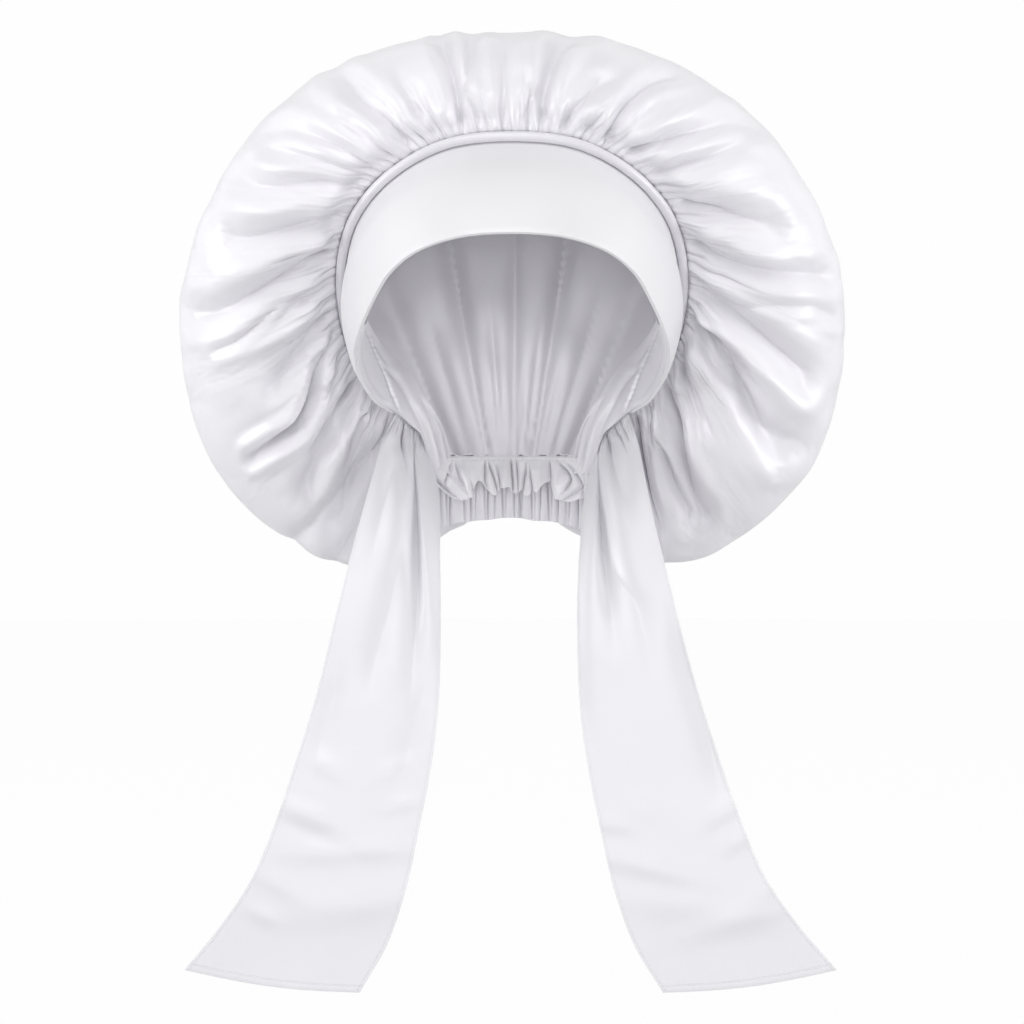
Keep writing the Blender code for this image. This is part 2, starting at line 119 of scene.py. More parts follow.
# Tie, from seam to hem: outer edge, inner edge, and how much nearer to the middle the right
# tie's two edges hang
TIE_ROWS = (
    (66.5, 66, -46, 47, 89, -70.5, 0, 0), (73, 61, -59.5, 43, 80, -84.5, 2, 0),
    (79.5, 55, -82, 41.5, 68, -99, 4, 1), (85.5, 49, -104.5, 41, 57, -116, 5.5, 2),
    (92, 43, -130, 40.5, 47, -136, 6, 3.2), (100, 34, -163.5, 40, 36, -167, 6, 3.4),
    (110, 25, -205, 41, 26, -208, 5, 3), (120, 18, -238, 45, 18, -242, 4.5, 2.8),
    (130.5, 12, -270.5, 51.5, 12, -276, 4, 2.5), (144, 8, -303, 59, 8, -310, 3.5, 2.2),
    (160.5, 6, -328, 69, 6, -339, 2.5, 1.6), (180.5, 4, -352.5, 84, 4, -365, 1.5, 0.8),
)

# Camera: 2 m in front, level with the middle of the bonnet
CAMERA_PLACE = (0.0, -2.0, -0.1001)
PICTURE_SIDE = 1024
PICTURE_METRES_PER_PIXEL = 0.00055
SENSOR = 36.0
CAMERA_FAR = -CAMERA_PLACE[1] / MM
CAMERA_HEIGHT = CAMERA_PLACE[2] / MM
PICTURE_STEP = PICTURE_METRES_PER_PIXEL / MM
FLOOR_HEIGHT = -0.42
FLOOR_RADIUS = 9.0
SKY_STRENGTH = 0.55
FLOOR_COLOUR = (0.72, 0.72, 0.725)
FLOOR_GLOW = 0.97
BACKDROP_GLOW = 0.992


def hermite(values, slopes, i, span, t):
    """Smooth curve a share t of the way from row i to the next one, which is span away."""
    return ((1 + 2 * t) * (1 - t) ** 2 * values[i] + t * t * (3 - 2 * t) * values[i + 1]
            + t * (1 - t) ** 2 * span * slopes[i] + t * t * (t - 1) * span * slopes[i + 1])


def row_below(knots, places):
    """Number of the row at or below each place, and never the last row."""
    return np.clip(np.searchsorted(knots, places, side="right") - 1, 0, len(knots) - 2)


def smooth_curve(rows, shares, first_row=0):
    """Points at shares 0 to 1 of the way from the first row given to the last."""
    points = np.array(rows, dtype=float)
    steps = np.linalg.norm(np.diff(points, axis=0), axis=1)
    knots = np.concatenate(([0.0], np.cumsum(steps)))
    slopes = np.gradient(points, knots, axis=0)
    shares = np.clip(np.asarray(shares, dtype=float), 0.0, 1.0)
    places = knots[first_row] + shares * (knots[-1] - knots[first_row])
    i = row_below(knots, places)
    span = steps[i][..., None]
    return hermite(points, slopes, i, span, (places - knots[i])[..., None] / span)


def smooth_between(knots, values, places):
    """Smooth curve through a table, level beyond its ends."""
    slopes = np.gradient(values, knots)
    places = np.clip(places, knots[0], knots[-1])
    i = row_below(knots, places)
    span = knots[i + 1] - knots[i]
    return hermite(values, slopes, i, span, (places - knots[i]) / span)


def wrapped(angle):
    """The same angle, between -180 and 180."""
    return (np.asarray(angle, dtype=float) + 180.0) % 360.0 - 180.0


def both_sides(rows):
    """Mirror a half path that starts at the middle into one that runs left to right."""
    left = [(-x, *rest) for x, *rest in rows[:0:-1]]
    return left + [tuple(row) for row in rows]


def unit(vectors):
    return vectors / np.linalg.norm(vectors, axis=-1, keepdims=True)


def ease(low, high, values):
    """Smooth step from 0 at low to 1 at high."""
    t = np.clip((np.asarray(values, dtype=float) - low) / (high - low), 0.0, 1.0)
    return t * t * (3 - 2 * t)


def fade(low, high, values):
    """Smooth step from 1 at low to 0 at high."""
    return 1.0 - ease(low, high, values)


def at_least(low, share):
    """Rises from low to 1 as the share goes from 0 to 1."""
    return low + (1.0 - low) * share


def grid_shares(count):
    """Even shares 0 to 1 of a grid with so many cells."""
    return np.arange(count + 1) / count


def polar(points):
    """Clock angle, distance from the crown's axis, and depth."""
    rise = points[..., 2] - CROWN_AXIS_HEIGHT
    clock = np.degrees(np.arctan2(points[..., 0], rise))
    return clock, np.hypot(points[..., 0], rise), points[..., 1]


def from_polar(clock, radius, depth):
    angle = np.radians(clock)
    return np.stack((radius * np.sin(angle), depth + 0 * radius,
                     CROWN_AXIS_HEIGHT + radius * np.cos(angle)), axis=-1)


def head_outward(points):
    """Level direction away from the middle of the head."""
    return unit(points * np.array((1.0, 1.0, 0.0)))


def nape_rows():
    """Stitch line of the nape, from the side to the middle, on the round of the head."""
    rows = []
    for i in range(NAPE_STATIONS):
        share = 1.0 - i / (NAPE_STATIONS - 1)
        rows.append((NAPE_HALF_WIDTH * share, NAPE_DEPTH - NAPE_ROUND * share ** 2, NAPE_HEIGHT))
    return rows


def facing_front():
    """Front edge of the side facing: inside the band's front edge, then along the tie seam."""
    tucked = []
    band_rows = FRONT_EDGE[len(TIE_SEAM) - len(FACING_BACK):]
    for front, back in zip(band_rows, FACING_BACK):
        point = np.array(front)
        inward = head_outward(point) * -FACING_INSIDE
        tucked.append(tuple(point + inward + unit(np.array(back) - point) * FACING_TUCK))
    return tucked + list(TIE_SEAM)


def crown_rim_table():
    """Clock angle, radius and depth of the crown's open edge, for the right half."""
    shares = 0.5 + 0.5 * np.arange(RIM_STATIONS) / (RIM_STATIONS - 1)
    clock, radius, depth = polar(smooth_curve(both_sides(BACK_SEAM), shares))
    table = list(zip(clock, radius + PIPING_CLEARANCE, depth))
    for rows, layers in ((TIE_SEAM[1:], TIE_RIM_LAYERS), (nape_rows(), NAPE_RIM_LAYERS)):
        points = np.array(rows)
        clock, radius, depth = polar(points + head_outward(points) * layers)
        table += list(zip(np.abs(clock), radius, depth))
    table[-1] = (180.0, *table[-1][1:])
    return np.array(table)


def table_at(table, clocks):
    """Rows of a clock table at any clock angles, by a smooth curve even about 0 and 180."""
    clocks = np.abs(wrapped(clocks))
    rows = np.array(table, dtype=float)
    before = rows[2:0:-1].copy()
    before[:, 0] = -before[:, 0]
    after = rows[-2:-4:-1].copy()
    after[:, 0] = 360.0 - after[:, 0]
    rows = np.vstack((before, rows, after))
    knots = rows[:, 0]
    slopes = np.gradient(rows[:, 1:], knots, axis=0)
    i = row_below(knots, clocks)
    span = (knots[i + 1] - knots[i])[..., None]
    return hermite(rows[:, 1:], slopes, i, span, (clocks - knots[i])[..., None] / span)


def bezier(a, b, c, d, t):
    return a * (1 - t) ** 3 + 3 * b * t * (1 - t) ** 2 + 3 * c * t * t * (1 - t) + d * t ** 3


def fold_clocks(places):
    """Clock angles at the seam and at the widest ring for fractional fold numbers."""
    count = len(CROWN_FOLDS)
    clocks = np.array(CROWN_FOLDS)
    numbers = np.arange(-2, count + 3)
    table = clocks[numbers % count] + 360.0 * (numbers // count)[:, None]
    return np.interp(places, numbers, table[:, 0]), np.interp(places, numbers, table[:, 1])


def crown_base(places, steps):
    """Smooth crown, fold places by steps; step 0 is the seam, 1 the widest ring, 2 the back."""
    rim_clock, wide_clock = fold_clocks(places)
    rim = table_at(crown_rim_table(), rim_clock)
    wide = table_at(CROWN_ROWS, wide_clock)
    rim_radius, rim_depth = rim[:, 0:1], rim[:, 1:2]
    lean, wide_radius, wide_depth = np.radians(wide[:, 0:1]), wide[:, 1:2], wide[:, 2:3]
    rim_clock, wide_clock = rim_clock[:, None], wide_clock[:, None]
    t = np.clip(steps, 0.0, 1.0)[None, :]
    reach = QUARTER_ROUND * (wide_radius - rim_radius)
    radius = bezier(rim_radius, rim_radius + reach * np.cos(lean), wide_radius, wide_radius, t)
    depth = bezier(rim_depth, rim_depth + reach * np.sin(lean),
                   wide_depth - QUARTER_ROUND * (wide_depth - rim_depth), wide_depth, t)
    spread = np.clip((radius - rim_radius) / (wide_radius - rim_radius), 0.0, 1.0)
    clock = rim_clock + (wide_clock - rim_clock) * (1 - (1 - spread) ** SIDEWAYS_PULL)
    front = from_polar(clock, radius, depth)
    start = from_polar(wide_clock, wide_radius, wide_depth)
    back = np.array(CROWN_BACK)
    tilt = math.radians(CROWN_BACK_TILT)
    back_normal = np.array((0.0, math.cos(tilt), math.sin(tilt)))
    toward = start - back
    toward = toward - back_normal * (toward @ back_normal)[..., None]
    push = CROWN_BACK_FULLNESS * (CROWN_BACK_DEPTH - wide_depth)
    leave = start + push[..., None] * np.array((0.0, 1.0, 0.0))
    arrive = back + toward * CROWN_BACK_FLATNESS
    t = np.clip(steps - 1.0, 0.0, 1.0)[None, :, None]
    rear = bezier(start, leave, arrive, back + 0 * start, t)
    return np.where(steps[None, :, None] <= 1.0, front, rear)


# Grooves between the crown's folds, as seen from the front: depth, half width at the seam,
# half width at the end, then clock angle and distance from the axis along each, in picture steps
CROWN_GROOVES = (
    (5, 9, 16, (-129, 178), (-135, 218), (-140, 258), (-143, 300)),
    (5.5, 7, 14, (-118, 176), (-123, 205), (-126.5, 238), (-130, 261), (-134, 290)),
    (3, 3, 6, (-128, 190), (-130.5, 209), (-132, 222)),
    (5, 5, 7, (-101, 182), (-108, 204), (-114.5, 222), (-119, 245), (-120.4, 272), (-121.3, 311)),
    (5.5, 7, 13, (-94, 184), (-100, 206), (-106, 236), (-111, 262)),
    (8, 7, 16, (-75, 185), (-80, 208), (-85.5, 236), (-90, 267), (-92.5, 298), (-92.5, 325)),
    (2.6, 4, 5, (-90, 230), (-95, 255), (-98.5, 280), (-99.5, 302)),
    (8, 7, 17, (-64, 183), (-69, 211), (-73, 236), (-76, 261), (-77.5, 286), (-77, 302)),
    (6, 6, 13, (-52.5, 186), (-56, 211), (-60, 236), (-64, 258), (-66, 283), (-65, 306)),
    (5.5, 5, 10, (-49, 186), (-51.5, 211), (-53.8, 236), (-56.5, 267), (-58.5, 295)),
    (6, 6, 10, (-46, 186), (-48, 220), (-50, 250), (-53, 283), (-56, 302)),
    (3, 5, 14, (-40, 190), (-41.5, 212), (-42.5, 236), (-43, 252)),
    (8, 6, 12, (-34, 186), (-35, 220), (-37, 252), (-37.5, 273), (-38, 292)),
    (3.5, 5, 9, (-31.5, 195), (-32, 227), (-34, 258), (-36, 283)),
    (2.6, 6, 16, (-26.5, 200), (-27, 230), (-26, 262)), (3.5, 5, 9, (-24, 183), (-25, 202), (-28, 221)),
    (7, 5, 9, (-16.5, 172), (-15.5, 205), (-15, 236), (-15.2, 270)),
    (5.5, 6, 10, (-11, 175), (-11.5, 200), (-12, 217), (-10, 245), (-9, 268)),
    (4, 5, 9, (-8.5, 175), (-8, 205), (-7.5, 230), (-6, 252)),
    (3, 6, 12, (-3, 175), (-2.5, 205), (-2, 235), (-1, 258)),
    (3.5, 4, 8, (4, 174), (4.5, 195), (7.5, 214)),
    (7.5, 6, 10, (9.5, 174), (9, 205), (9.5, 236), (11, 258), (14, 273)),
    (3, 5, 12, (13, 192), (15, 220), (18, 250), (19, 267)),
    (6.5, 4, 13, (16.5, 174), (18, 200), (21, 225), (24, 248)), (4, 5, 8, (22, 177), (24, 198)),
    (6.5, 5, 8, (31, 177), (30, 205), (30.5, 230), (32.5, 255), (36.5, 281)),
    (3, 5, 12, (33, 186), (34.5, 214), (35.7, 236), (36, 252)),
    (7.5, 6, 12, (38, 186), (42, 211), (45, 230), (48, 255), (51, 283), (54.5, 303)),
    (5.5, 6, 12, (47, 186), (50, 208), (53, 236), (55, 267), (56, 289)),
    (8.5, 7, 18, (60, 186), (64, 211), (69, 236), (74, 267), (77, 286)),
    (7.5, 6, 12, (72, 186), (79, 211), (82, 236), (84, 267), (85, 298), (86, 323)),
    (8, 7, 14, (85, 177), (90, 199), (94.5, 227), (98.5, 255), (102, 283), (105, 313)),
    (3, 5, 9, (91, 300), (92.5, 318), (93, 330)),
    (8.5, 8, 20, (96, 174), (101, 202), (107, 230), (111, 245), (115.5, 267), (118, 298), (116, 326)),
    (4.5, 6, 10, (98, 177), (103, 199), (106, 210)),
    (5, 6, 14, (109, 174), (116, 193), (122, 214), (125, 236)),
    (7, 7, 12, (120, 174), (126, 199), (131, 220), (135.5, 248), (139, 298)),
    (4, 4, 7, (133, 200), (138.7, 242), (141, 281)), (3.5, 3, 5, (127, 168), (129.6, 182), (131.5, 193)),
    (5.5, 7, 12, (134, 174), (140.5, 205), (145, 240), (148, 280)),
)
# Bright ridges beside the grooves, in the same terms
CROWN_RIDGES = (
    (4.8, 5, 9, (-103, 190), (-113, 208), (-121.5, 236), (-123.2, 288), (-123.8, 322)),
    (3.2, 5, 8, (-111, 215), (-116.5, 236), (-118, 267), (-119, 312)),
    (3.4, 6, 9, (-91, 180), (-97.2, 231), (-101, 278), (-102.5, 310)),
    (4, 3, 5, (-119.5, 172), (-123, 200), (-125, 215), (-129, 226), (-134, 240)),
    (4.2, 4, 6, (-125.5, 177), (-131.3, 192), (-135, 216), (-137.4, 247), (-140.8, 274)),
    (4.6, 5, 9, (95, 190), (99, 222), (103, 242), (107, 272), (110, 301), (110.6, 324)),
    (4.8, 5, 8, (100, 180), (106, 203), (111.5, 224), (117, 246), (121.6, 281), (124.2, 318)),
    (4.2, 3, 6, (102, 169), (110, 176), (118.5, 204), (123.5, 224), (126.5, 250)),
    (4.6, 4, 6, (128, 166), (134.4, 184), (139.9, 216), (142.7, 244), (144.4, 275), (144.4, 300)),
    (3.6, 3, 6, (133, 207), (135.3, 232), (137.6, 255), (139, 278), (139.5, 303)),
)
# Lower sides, under the ties, and the nape: clock angle, depth, half width in picture steps
PLAIN_GROOVES = (
    (-172, 4.5, 6), (-165, 5, 7), (-159, 4.5, 6), (-153, 5, 8), (-146, 5.5, 9), (-138, 4.5, 8),
    (150, 5.5, 8), (157, 4.5, 6), (163, 5, 7), (169, 4.5, 6), (176, 5, 7),
)

# Crown cloth: divisions round and from seam to back, and where the columns thin out
CROWN_COLUMNS = 720
CROWN_FRONT_ROWS = 42
CROWN_FRONT_END = 1.15
CROWN_FRONT_CROWDING = 1.35
CROWN_BACK_ROWS = 46
HALF_COLUMNS_FROM = 1.16
SEAM_SAMPLES = 4000
# Fine puckers at the seam: their spacing, how far one strays from its place, its half width, the
# share of long ones, and the ranges of reach and depth of long and short ones
PUCKER_SPACING = 4.9
PUCKER_STRAY = 0.25
PUCKER_HALF_WIDTH = 1.35
PUCKER_SPREAD = 1.1
PUCKER_SHARPNESS = 1.05
PUCKER_START = 0.45
PUCKER_BUILD = (0.0, 4.0)
PUCKER_FADE_FROM = 0.4
LONG_PUCKER_SHARE = 0.22
LONG_PUCKERS = ((26.0, 52.0), (4.2, 5.6))
SHORT_PUCKERS = ((11.0, 26.0), (3.0, 4.6))
# Grooves: depth, how much deeper low at the sides, how much shallower at their far end, the
# raised lip beside each, and the form of the valley
GROOVE_DEPTH = 1.25
LOW_GROOVES = 0.8
LOW_GROOVES_BUILD = (92.0, 122.0)
GROOVE_TAPER = 0.55
RIDGE_TAPER = 0.85
GROOVE_LIMIT = 15.0
RIDGE_LIMIT = 8.0
GROOVE_SAMPLES = 60
GROOVE_END_SQUEEZE = 1.1
GROOVE_SHARPNESS = 1.15
GROOVE_SHARPNESS_GAIN = 0.55
GROOVE_START = 0.45
GROOVE_BUILD_BEFORE = 10.0
GROOVE_BUILD_AFTER = 22.0
GROOVE_AT_SEAM = 0.3
GROOVE_OFF_SEAM = (0.0, 10.0)
GROOVE_FADE = (1.1, 1.5)
VALLEY_FALL = 1.2
LIP_HEIGHT = 0.22
LIP_PLACE = 2.0
LIP_WIDTH = 0.75
PLAIN_GROOVE_SPREAD = 0.5
PLAIN_GROOVE_SHARPNESS = 1.5
PLAIN_GROOVE_FADE = (0.7, 1.1)
OVER_EDGE_STEPS = 130.0
# How far the cloth stands off the smooth crown between the grooves, and in a roll at the seam
CROWN_LIFT = 3.4
CROWN_LIFT_BUILD = (1.0, 16.0)
CROWN_LIFT_FADE = (0.45, 1.2)
SEAM_ROLL = 1.6
SEAM_ROLL_BUILD = (0.0, 3.0)
SEAM_ROLL_FADE = (12.0, 30.0)


def crown_places():
    """Fold numbers of the grid's columns, which stand evenly along the seam."""
    fine = np.linspace(0.0, len(CROWN_FOLDS), SEAM_SAMPLES)
    clock, _ = fold_clocks(fine)
    rim = table_at(crown_rim_table(), clock)
    points = from_polar(clock, rim[:, 0], rim[:, 1])
    along = np.concatenate(([0.0], np.cumsum(np.linalg.norm(np.diff(points, axis=0), axis=1))))
    return np.interp(along[-1] * np.arange(CROWN_COLUMNS) / CROWN_COLUMNS, along, fine)


def crown_steps():
    """Rows of the grid: 0 is the seam, 1 the widest ring and 2 the middle of the back."""
    front = CROWN_FRONT_END * grid_shares(CROWN_FRONT_ROWS) ** CROWN_FRONT_CROWDING
    back = np.linspace(CROWN_FRONT_END, 2.0, CROWN_BACK_ROWS + 1)[1:]
    return np.concatenate((front, back))


def widest_row(steps):
    return int(np.argmin(np.abs(steps - 1.0)))


def grid_normals(points):
    along = np.gradient(points, axis=1)
    around = np.roll(points, -1, axis=0) - np.roll(points, 1, axis=0)
    normals = np.cross(around, along)
    return normals / np.maximum(np.linalg.norm(normals, axis=-1, keepdims=True), NO_LENGTH)


def pucker_rows(rng):
    """Fine puckers at the seam: place in folds, reach in mm, depth, half width in folds."""
    rows = []
    count = len(CROWN_FOLDS)
    rim_clock, _ = fold_clocks(np.arange(count + 1))
    radius = table_at(crown_rim_table(), rim_clock)[:, 0]
    for k in range(count):
        width = math.radians(rim_clock[k + 1] - rim_clock[k]) * radius[k]
        parts = max(2, round(width / PUCKER_SPACING))
        for j in range(parts):
            place = k + (j + rng.uniform(-PUCKER_STRAY, PUCKER_STRAY)) / parts
            reaches, depths = LONG_PUCKERS if rng.random() < LONG_PUCKER_SHARE else SHORT_PUCKERS
            reach = rng.uniform(*reaches)
            rows.append((place, reach, rng.uniform(*depths), PUCKER_HALF_WIDTH / width))
    return rows


def groove_depth(clock, distance, row, taper):
    """Depth of one groove at each place of the crown's front, in picture steps."""
    depth, start_width, end_width, *path = row
    places, distances = np.array(path, dtype=float).T
    first, last = distances[0], distances[-1]
    fine = np.linspace(first, last, GROOVE_SAMPLES)
    course = smooth_between(distances, places, fine)
    turn = np.radians(np.gradient(course, fine)) * fine
    centre = np.interp(distance, fine, course)
    slant = 1.0 / np.sqrt(1.0 + np.interp(distance, fine, turn) ** 2)
    away = np.radians(wrapped(clock - centre)) * distance * slant
    share = np.clip((distance - first) / (last - first), 0.0, 1.0)
    width = start_width + (end_width - start_width) * share
    beyond = np.maximum(distance - (last - end_width), 0.0)
    reach = np.hypot(away, beyond * GROOVE_END_SQUEEZE) / width
    sharp = GROOVE_SHARPNESS + GROOVE_SHARPNESS_GAIN * share
    build = at_least(GROOVE_START,
                     ease(first - GROOVE_BUILD_BEFORE, first + GROOVE_BUILD_AFTER, distance))
    lip = LIP_HEIGHT * np.exp(-((reach - LIP_PLACE) / LIP_WIDTH) ** 2)
    return depth * build * (1.0 - taper * share ** 2) * (np.exp(-VALLEY_FALL * reach ** sharp) - lip)


def crown_in_picture(base, steps):
    """Clock angle and distance from the axis as the picture shows them, and on over the edge."""
    shrink = CAMERA_FAR / (CAMERA_FAR + base[..., 1])
    flat_x = base[..., 0] * shrink
    flat_z = CAMERA_HEIGHT + (base[..., 2] - CAMERA_HEIGHT) * shrink - CROWN_AXIS_HEIGHT
    clock = np.degrees(np.arctan2(flat_x, flat_z))
    distance = np.hypot(flat_x, flat_z) / PICTURE_STEP
    edge = widest_row(steps)
    beyond = (steps - steps[edge])[None, :]
    over_edge = distance[:, edge:edge + 1] + OVER_EDGE_STEPS * beyond
    return (np.where(beyond > 0.0, clock[:, edge:edge + 1], clock),
            np.where(beyond > 0.0, over_edge, distance))


def crown_heights(base, places, steps, arc):
    """How far the cloth stands off the smooth crown at each place and step."""
    count = len(CROWN_FOLDS)
    step = steps[None, :]
    clock, distance = crown_in_picture(base, steps)
    total = np.zeros(arc.shape)
    low = 1.0 + LOW_GROOVES * ease(*LOW_GROOVES_BUILD, np.abs(clock))
    for row in CROWN_GROOVES:
        total = total + groove_depth(clock, distance, row, GROOVE_TAPER) * low
    for row in CROWN_RIDGES:
        total = total - groove_depth(clock, distance, row, RIDGE_TAPER)
    for place, depth, width in PLAIN_GROOVES:
        away = np.radians(wrapped(clock - place)) * distance
        reach = np.abs(away / (width * (1.0 + PLAIN_GROOVE_SPREAD * step)))
        valley = np.exp(-VALLEY_FALL * reach ** PLAIN_GROOVE_SHARPNESS)
        total = total + depth * valley * fade(*PLAIN_GROOVE_FADE, step)
    limit = np.where(total > 0.0, GROOVE_LIMIT, RIDGE_LIMIT)
    total = limit * np.tanh(total / limit)
    height = CROWN_LIFT * ease(*CROWN_LIFT_BUILD, arc) * fade(*CROWN_LIFT_FADE, step)
    rise = at_least(GROOVE_AT_SEAM, ease(*GROOVE_OFF_SEAM, arc))
    height = height - GROOVE_DEPTH * rise * total * fade(*GROOVE_FADE, step)
    for place, reach, depth, width in pucker_rows(np.random.default_rng(11)):
        away = ((places - place + count / 2) % count - count / 2)[:, None]
        size = width * (1.0 + PUCKER_SPREAD * arc / reach)
        valley = np.exp(-(np.abs(away) / size) ** PUCKER_SHARPNESS)
        height = height - (depth * at_least(PUCKER_START, ease(*PUCKER_BUILD, arc)) * valley
                           * fade(PUCKER_FADE_FROM * reach, reach, arc))
    return height + SEAM_ROLL * ease(*SEAM_ROLL_BUILD, arc) * fade(*SEAM_ROLL_FADE, arc)


# Creases that fan up the inside of the back, between soft gathers: angle from upright, depth,
# half width in degrees, and how far up they reach
FAN_APEX_HEIGHT = -148.0
FAN_SWELL = 3.0
FAN_START = (0.9, 1.3)
FAN_SPREAD = 0.5
FAN_SPREAD_BUILD = (0.0, 140.0)
FAN_SIDE_SPREAD = 1.6
FAN_SIDE_BUILD = (9.0, 22.0)
FAN_FADE_FROM = 0.35
FAN_FALL = 1.1
FAN_SHARPNESS = 1.3
FAN_HIGH = 0.25
FAN_HIGH_FADE = (120.0, 250.0)
FAN_SIDE_FADE = (36.0, 50.0)
FAN_CREASES = (
    (-35, 4, 2.2, 150), (-23, 7, 1.5, 230), (-17, 3.5, 1.2, 110), (-13.8, 2.4, 0.8, 45),
    (-10.2, 6.5, 1.3, 215), (-7.2, 3, 0.8, 70), (-4.4, 3.8, 1, 120), (-2, 2.8, 0.7, 45),
    (0.6, 4.4, 1.1, 180), (2.8, 2.6, 0.7, 60), (6, 3.6, 0.9, 100), (8.9, 6.5, 1.3, 215),
    (12.6, 3.4, 1, 70), (16.6, 3.8, 1.3, 120), (22.8, 7, 1.5, 230), (34.5, 4, 2.2, 150),
)


def fan_heights(points, steps):
    """Creases of the back wall, which spread upward from the elastic nape, seen from inside."""
    angle = np.degrees(np.arctan2(points[..., 0], points[..., 2] - FAN_APEX_HEIGHT))
    up = points[..., 2] - NAPE_HEIGHT
    show = ease(*FAN_START, steps)[None, :]
    height = np.full(angle.shape, -FAN_SWELL)
    for place, depth, width, reach in FAN_CREASES:
        size = width * (1.0 + FAN_SPREAD * ease(*FAN_SPREAD_BUILD, up))
        size = size * (1.0 + FAN_SIDE_SPREAD * ease(*FAN_SIDE_BUILD, abs(place)))
        valley = np.exp(-FAN_FALL * (np.abs(angle - place) / size) ** FAN_SHARPNESS)
        height += depth * fade(FAN_FADE_FROM * reach, reach, up) * valley
    low = at_least(FAN_HIGH, fade(*FAN_HIGH_FADE, up))
    return -height * show * low * fade(*FAN_SIDE_FADE, np.abs(angle))


# How far the outline is drawn in at the widest ring: clock angle, millimetres
OUTLINE_TRIM = (
    (-180, 0), (-150, 0), (-135, 1.3), (-120, 0.5), (-102, 1.2), (-91, 2.2), (-82, 3.6), (-72, 3.6),
    (-60, 2.6), (-45, 1.6), (-31, 1.8), (-20, 0.9), (0, 0), (20, 0), (30, 1.4), (38, 4.2), (48, 5.6),
    (57, 3.8), (68, 3.2), (78, 1.4), (90, 0.9), (102, 0.6), (114, 1.6), (128, 1.8), (150, 0), (180, 0),
)
OUTLINE_TRIM_SPREAD = 0.3
# Slow unevenness of the crown's cloth: turns to a millimetre, height, shift of the pattern
CROWN_WANDER = ((0.016, 2.4, (0.0, 0.0, 0.0)), (0.045, 1.0, (7.0, 3.0, 1.0)))
CROWN_WANDER_BUILD = (10.0, 60.0)
CROWN_MIDDLE_FADE = (1.9, 2.0)
# Blur that finds the broad part of the folds, in columns and rows, and where it is taken out
BROAD_COLUMNS = 26
BROAD_ROWS = 7
BROAD_OUT = (0.35, 0.8)
# Rows turned in behind the piping: how far under the seam and how far inward
TUCKED_ROWS = ((4.0, 2.6), (2.7, 0.7))
TUCK_END = (118.0, 132.0)
TUCK_PLAIN = 0.25


def crown_wander(point):
    return sum(noise.noise(Vector(point * turns) + Vector(shift)) * high
               for turns, high, shift in CROWN_WANDER)


def crown_points():
    """Grid of the crown's cloth, columns round by rows from the tucked edge to the back."""
    places = crown_places()
    steps = crown_steps()
    base = crown_base(places, steps)
    lengths = np.linalg.norm(np.diff(base, axis=1), axis=-1)
    arc = np.concatenate((np.zeros((CROWN_COLUMNS, 1)), np.cumsum(lengths, axis=1)), axis=1)
    normals = grid_normals(base)
    height = crown_heights(base, places, steps, arc) - fan_heights(base, steps)
    keep = fade(*CROWN_MIDDLE_FADE, steps)[None, :]
    wander = np.array([[crown_wander(point) for point in column] for column in base])
    height = height * keep + wander * (ease(*CROWN_WANDER_BUILD, arc) * keep)
    broad = smooth_down(smooth_round(height, BROAD_COLUMNS), BROAD_ROWS)
    height = height - broad * ease(*BROAD_OUT, steps)[None, :]
    edge_clock, _, _ = polar(base[:, widest_row(steps)])
    trim = smooth_between(*np.array(OUTLINE_TRIM).T, edge_clock)
    height = height - trim[:, None] * np.exp(-((steps - 1.0) / OUTLINE_TRIM_SPREAD) ** 2)[None, :]
    points = base + normals * height[..., None]
    points = settled_points(base, points, arc, steps, normals)
    return np.concatenate((tucked_rows(base, points, normals), points), axis=1)


def tucked_rows(base, points, normals):
    """The crown's edge turned in behind the piping, as it is sewn; straight on along the nape."""
    clock, _, _ = polar(base[:, 0])
    behind = fade(*TUCK_END, np.abs(clock))[:, None]
    across = unit(base[:, 1] - base[:, 0])
    rows = []
    for under, inward in TUCKED_ROWS:
        turned = base[:, 0] - normals[:, 0] * under - across * inward
        plain = points[:, 0] - across * (TUCK_PLAIN * under)
        rows.append(plain + (turned - plain) * behind)
    return np.stack(rows, axis=1)


def sheet_grid(name, points, wraps=False, split=False):
    """Mesh of a cloth grid; points is across by down by 3, in millimetres."""
    count, rows = points.shape[:2]
    across = count - (0 if wraps else 1)
    mesh = bmesh.new()
    mesh.loops.layers.uv.new("UVMap")
    place = mesh.verts.layers.int.new("place")
    bmesh.ops.create_grid(mesh, x_segments=across, y_segments=rows - 1, size=1.0, calc_uvs=True)
    for vertex in mesh.verts:
        i = round((vertex.co.x + 1.0) / 2.0 * across) % count
        j = round((vertex.co.y + 1.0) / 2.0 * (rows - 1))
        vertex.co = Vector(points[i, j] * MM)
        vertex[place] = i * rows + j
    if wraps:
        bmesh.ops.remove_doubles(mesh, verts=mesh.verts, dist=JOINED_WITHIN)
    if split:
        bmesh.ops.triangulate(mesh, faces=mesh.faces, quad_method="SHORT_EDGE")
    bmesh.ops.recalc_face_normals(mesh, faces=mesh.faces)
    obj = add_object(name, filled(mesh, name))
    obj.data.shade_smooth()
    return obj


def filled(mesh, name):
    data = bpy.data.meshes.new(name)
    mesh.to_mesh(data)
    mesh.free()
    return data


def add_object(name, data):
    obj = bpy.data.objects.new(name, data)
    bpy.context.scene.collection.objects.link(obj)
    return obj


def wall(obj, thickness, edge=0.0):
    """Give a sheet its thickness, and roll its edge where it shows."""
    solid = obj.modifiers.new("cloth thickness", "SOLIDIFY")
    solid.thickness = thickness * MM
    solid.offset = 0.0
    solid.use_even_offset = False
    if edge:
        roll = obj.modifiers.new("rolled edge", "BEVEL")
        roll.width = edge * MM
        roll.segments = 2
        roll.limit_method = "ANGLE"
        roll.angle_limit = math.radians(EDGE_ANGLE)


